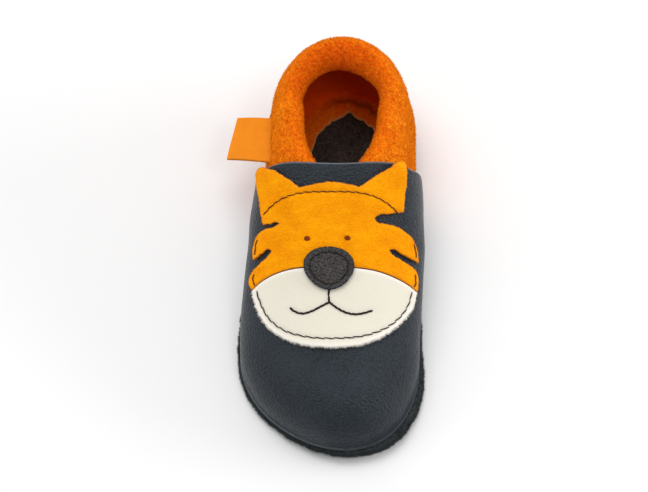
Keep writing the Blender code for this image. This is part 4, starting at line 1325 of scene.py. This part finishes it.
def build_face():
    """Mask with ears and cut stripes, muzzle below it, and a nose over both, with rough cut edges."""
    hem = drawn(both_sides(OUTER_HEM, INNER_HEM))
    chin = frayed(drawn(both_sides(OUTER_CHIN, INNER_CHIN)), 0.26 * MM)
    crown = frayed(drawn(both_sides(OUTER_EAR + OUTER_CHEEK, INNER_EAR + INNER_CHEEK)), 0.16 * MM)
    mask = np.concatenate([crown, hem[-2:0:-1]])
    muzzle = np.concatenate([hem, chin[-2:0:-1]]) + np.array([0, GAP])
    nose = nose_outline()
    nose_lift = 2 * GAP + MASK_THICKNESS
    add_cut("nubuck_mask", "tiger_mask", mask, mask_lift, MASK_THICKNESS, mask_relief, YELLOW_NUBUCK,
            fringe=0.3 * MM)
    add_cut("leather_muzzle", "muzzle", muzzle, lambda flat: GAP, MUZZLE_THICKNESS, muzzle_relief,
            CREAM_LEATHER, fringe=0.9 * MM)
    add_cut("leather_nose", "nose", nose, lambda flat: nose_lift, NOSE_THICKNESS, nose_relief, NOSE_LEATHER,
            fringe=0.4 * MM)
    low_chin = chin + np.array([0, GAP])
    add_edge_fibres("muzzle_fibres", low_chin, GAP + MUZZLE_THICKNESS, 1.2 * MM, 1800, CREAM_LEATHER, 21)
    add_edge_fibres("mask_fibres", crown, GAP + MASK_THICKNESS, 0.5 * MM, 3000, YELLOW_NUBUCK, 23, mask_lift)
    add_edge_fibres("nose_fibres", nose, nose_lift + NOSE_THICKNESS, 0.75 * MM, 1300, NOSE_LEATHER, 25)


def build_thread():
    """Thread of the face: seams of the mask, the muzzle and the nose, the mouth, and a knot for each eye."""
    mask_face = GAP + MASK_THICKNESS
    mask_top = mask_face - 0.25 * MM
    muzzle_top = GAP + MUZZLE_THICKNESS - 0.22 * MM
    nose_top = 2 * GAP + MASK_THICKNESS + NOSE_THICKNESS - 0.45 * MM
    seams = [sewn(drawn(rows), mask_top) for rows in (EAR_LINE, *CHEEK_LINES)]
    add_thread("mask_stitches", seams, 0.21 * MM, BROWN_THREAD, stitch=2.9 * MM, gap=-0.12, slant=0.22 * MM)
    seams = [sewn(drawn(CHIN_LINE), muzzle_top)]
    add_thread("muzzle_stitches", seams, 0.23 * MM, DARK_THREAD, gap=-0.16, slant=0.27 * MM)
    ring = nose_outline(NOSE_RING)
    seams = [sewn(np.concatenate([ring, ring[:1]]), nose_top)]
    add_thread("nose_stitches", seams, 0.24 * MM, DARK_THREAD, stitch=2.6 * MM, gap=-0.1)
    seams = [sewn(drawn(rows), muzzle_top) for rows in (LIP, INNER_SMILE, OUTER_SMILE)]
    add_thread("mouth_stitches", seams, 0.40 * MM, DARK_THREAD, stitch=1.9 * MM, gap=-0.25)
    knots = []
    for eye in EYES:
        turn = np.linspace(0, KNOT_TURNS * 2 * math.pi, KNOT_STEPS)
        share = np.linspace(0, 1, KNOT_STEPS)
        reach = KNOT_REACH * (1 - 0.75 * share)
        flat = np.array(eye[:2]) + np.stack([reach * np.cos(turn), 0.8 * reach * np.sin(turn)], axis=1)
        path = over_face(flat, mask_face + KNOT_HEIGHT * share)
        up = unit(over_face(flat, mask_face + MM) - over_face(flat, mask_face))
        knots.append(tube(path[None], up[None], np.full(KNOT_STEPS, KNOT_RADIUS)))
    add_tubes("eye_knots", np.concatenate(knots), RUST_THREAD, turns=40)


def build_label():
    """Folded ribbon: one sheet that runs out from the casing seam, bends back on itself and returns."""
    low, high = turn_at(LABEL_ALONG - LABEL_WIDTH / 2), turn_at(LABEL_ALONG + LABEL_WIDTH / 2)
    width = np.linspace(0, 1, LABEL_COLUMNS)
    around = (math.pi - (low + (high - low) * width)) / (math.pi - turn_at(QUARTER_FRONT))
    reach = LABEL_LENGTH + LABEL_SKEW * (1 - width)
    half = (LABEL_THICKNESS - RIBBON_THICKNESS) / 2
    out = np.linspace(0, 1, LABEL_ROWS, endpoint=False)[:, None]
    bend = np.linspace(0, math.pi, FOLD_STEPS, endpoint=False)[:, None]
    back = np.linspace(1, 0, LABEL_ROWS)[:, None]
    straight = reach - half
    distance = np.concatenate([straight * out, straight + half * np.sin(bend), straight * back])
    layer = np.concatenate([-half + 0 * out, -half * np.cos(bend), half + 0 * back])
    wave = LABEL_WAVE * np.sin(2.2 * math.pi * width + 0.6) * (distance / reach)
    height = LABEL_HEIGHT - LABEL_DROOP * (distance / reach) ** 2 + layer + wave
    root = quarter_wall(around, LABEL_HEIGHT) + GAP
    middle = quarter_point(around + 0 * distance, root - distance, height)
    square = normals(middle) * RIBBON_THICKNESS / 2
    loops, raw = rounded_wall(middle + square, middle - square)
    rows = round_trip(walk(np.swapaxes(middle, 0, 1)).T)
    flow = np.stack([LABEL_WIDTH * width + 0 * rows, rows], axis=-1) / MM
    add_wall("ribbon_label", "side_label", loops, LABEL_RIBBON, flow=flow, raw=raw[:, None] + 0 * rows)


# Stage
def add_light(name, place, size, power):
    """A soft light of a given width and height that faces the shoe."""
    data = bpy.data.lights.new(name, "AREA")
    data.shape = "RECTANGLE"
    data.size, data.size_y = size
    data.energy = power
    lamp = bpy.data.objects.new(name, data)
    lamp.location = place
    lamp.rotation_euler = (SHOE_AIM - Vector(place)).to_track_quat("-Z", "Y").to_euler()
    bpy.context.scene.collection.objects.link(lamp)


def shade_surround(tree):
    """White surround, darker to the right and to the front by the direction's part along SIDE_LIGHT."""
    nodes = Nodes(tree)
    way = nodes.node("ShaderNodeTexCoord", {}, {}, "Generated")
    dot = {"operation": "DOT_PRODUCT"}
    slope = nodes.node("ShaderNodeVectorMath", dot, {0: way, 1: SIDE_LIGHT}, "Value")
    nodes.feed(tree.nodes["Background"].inputs["Strength"], slope + SURROUND)
    nodes.feed(tree.nodes["Background"].inputs["Color"], (1.0, 1.0, 1.0))


def build_stage():
    """Pale floor, soft studio lights, a white surround, and the photograph's eye point."""
    scene = bpy.context.scene
    scene.view_settings.view_transform = "Standard"
    finish = Finish("pale_floor", specular_ior_level=0.1)
    cloud = finish.noise(size=0.25)
    colour = finish.mix(cloud, (0.775, 0.775, 0.775), (0.785, 0.785, 0.785))
    mesh = bpy.data.meshes.new("floor")
    corners = [(-1, -1), (1, -1), (1, 1), (-1, 1)]
    mesh.from_pydata([(x * FLOOR_REACH, y * FLOOR_REACH, -GAP) for x, y in corners], [], [(0, 1, 2, 3)])
    look = finish.done(colour, 0.9 + 0.05 * cloud, finish.noise(size=2 * MM), 0.02 * MM)
    mesh.materials.append(look.material)
    floor = bpy.data.objects.new("floor", mesh)
    scene.collection.objects.link(floor)
    world = bpy.data.worlds.new("studio")
    world.use_nodes = True
    shade_surround(world.node_tree)
    scene.world = world
    for row in LIGHTS:
        add_light(*row)
    add_camera()


def add_camera():
    """Camera at the photograph's eye point, turned to the shoe and kept level with the photograph's frame."""
    back = np.array([0.0, -math.cos(ELEVATION), math.sin(ELEVATION)])
    eye = Vector(PHOTO_AIM + DISTANCE * back)
    ahead = (SHOE_AIM - eye).normalized()
    right = Vector((1, 0, 0))
    right = (right - ahead * right.dot(ahead)).normalized()
    up = right.cross(ahead)
    data = bpy.data.cameras.new("camera")
    data.sensor_width = SENSOR
    data.lens = SENSOR * DISTANCE / (FRAME_WIDTH * SCALE)
    camera = bpy.data.objects.new("camera", data)
    turn = Matrix((right, up, -ahead)).transposed().to_4x4()
    camera.matrix_world = Matrix.Translation(eye) @ turn
    bpy.context.scene.collection.objects.link(camera)
    bpy.context.scene.camera = camera


build_sole()
build_insole()
build_vamp()
build_quarter()
build_face()
build_thread()
build_label()
build_stage()
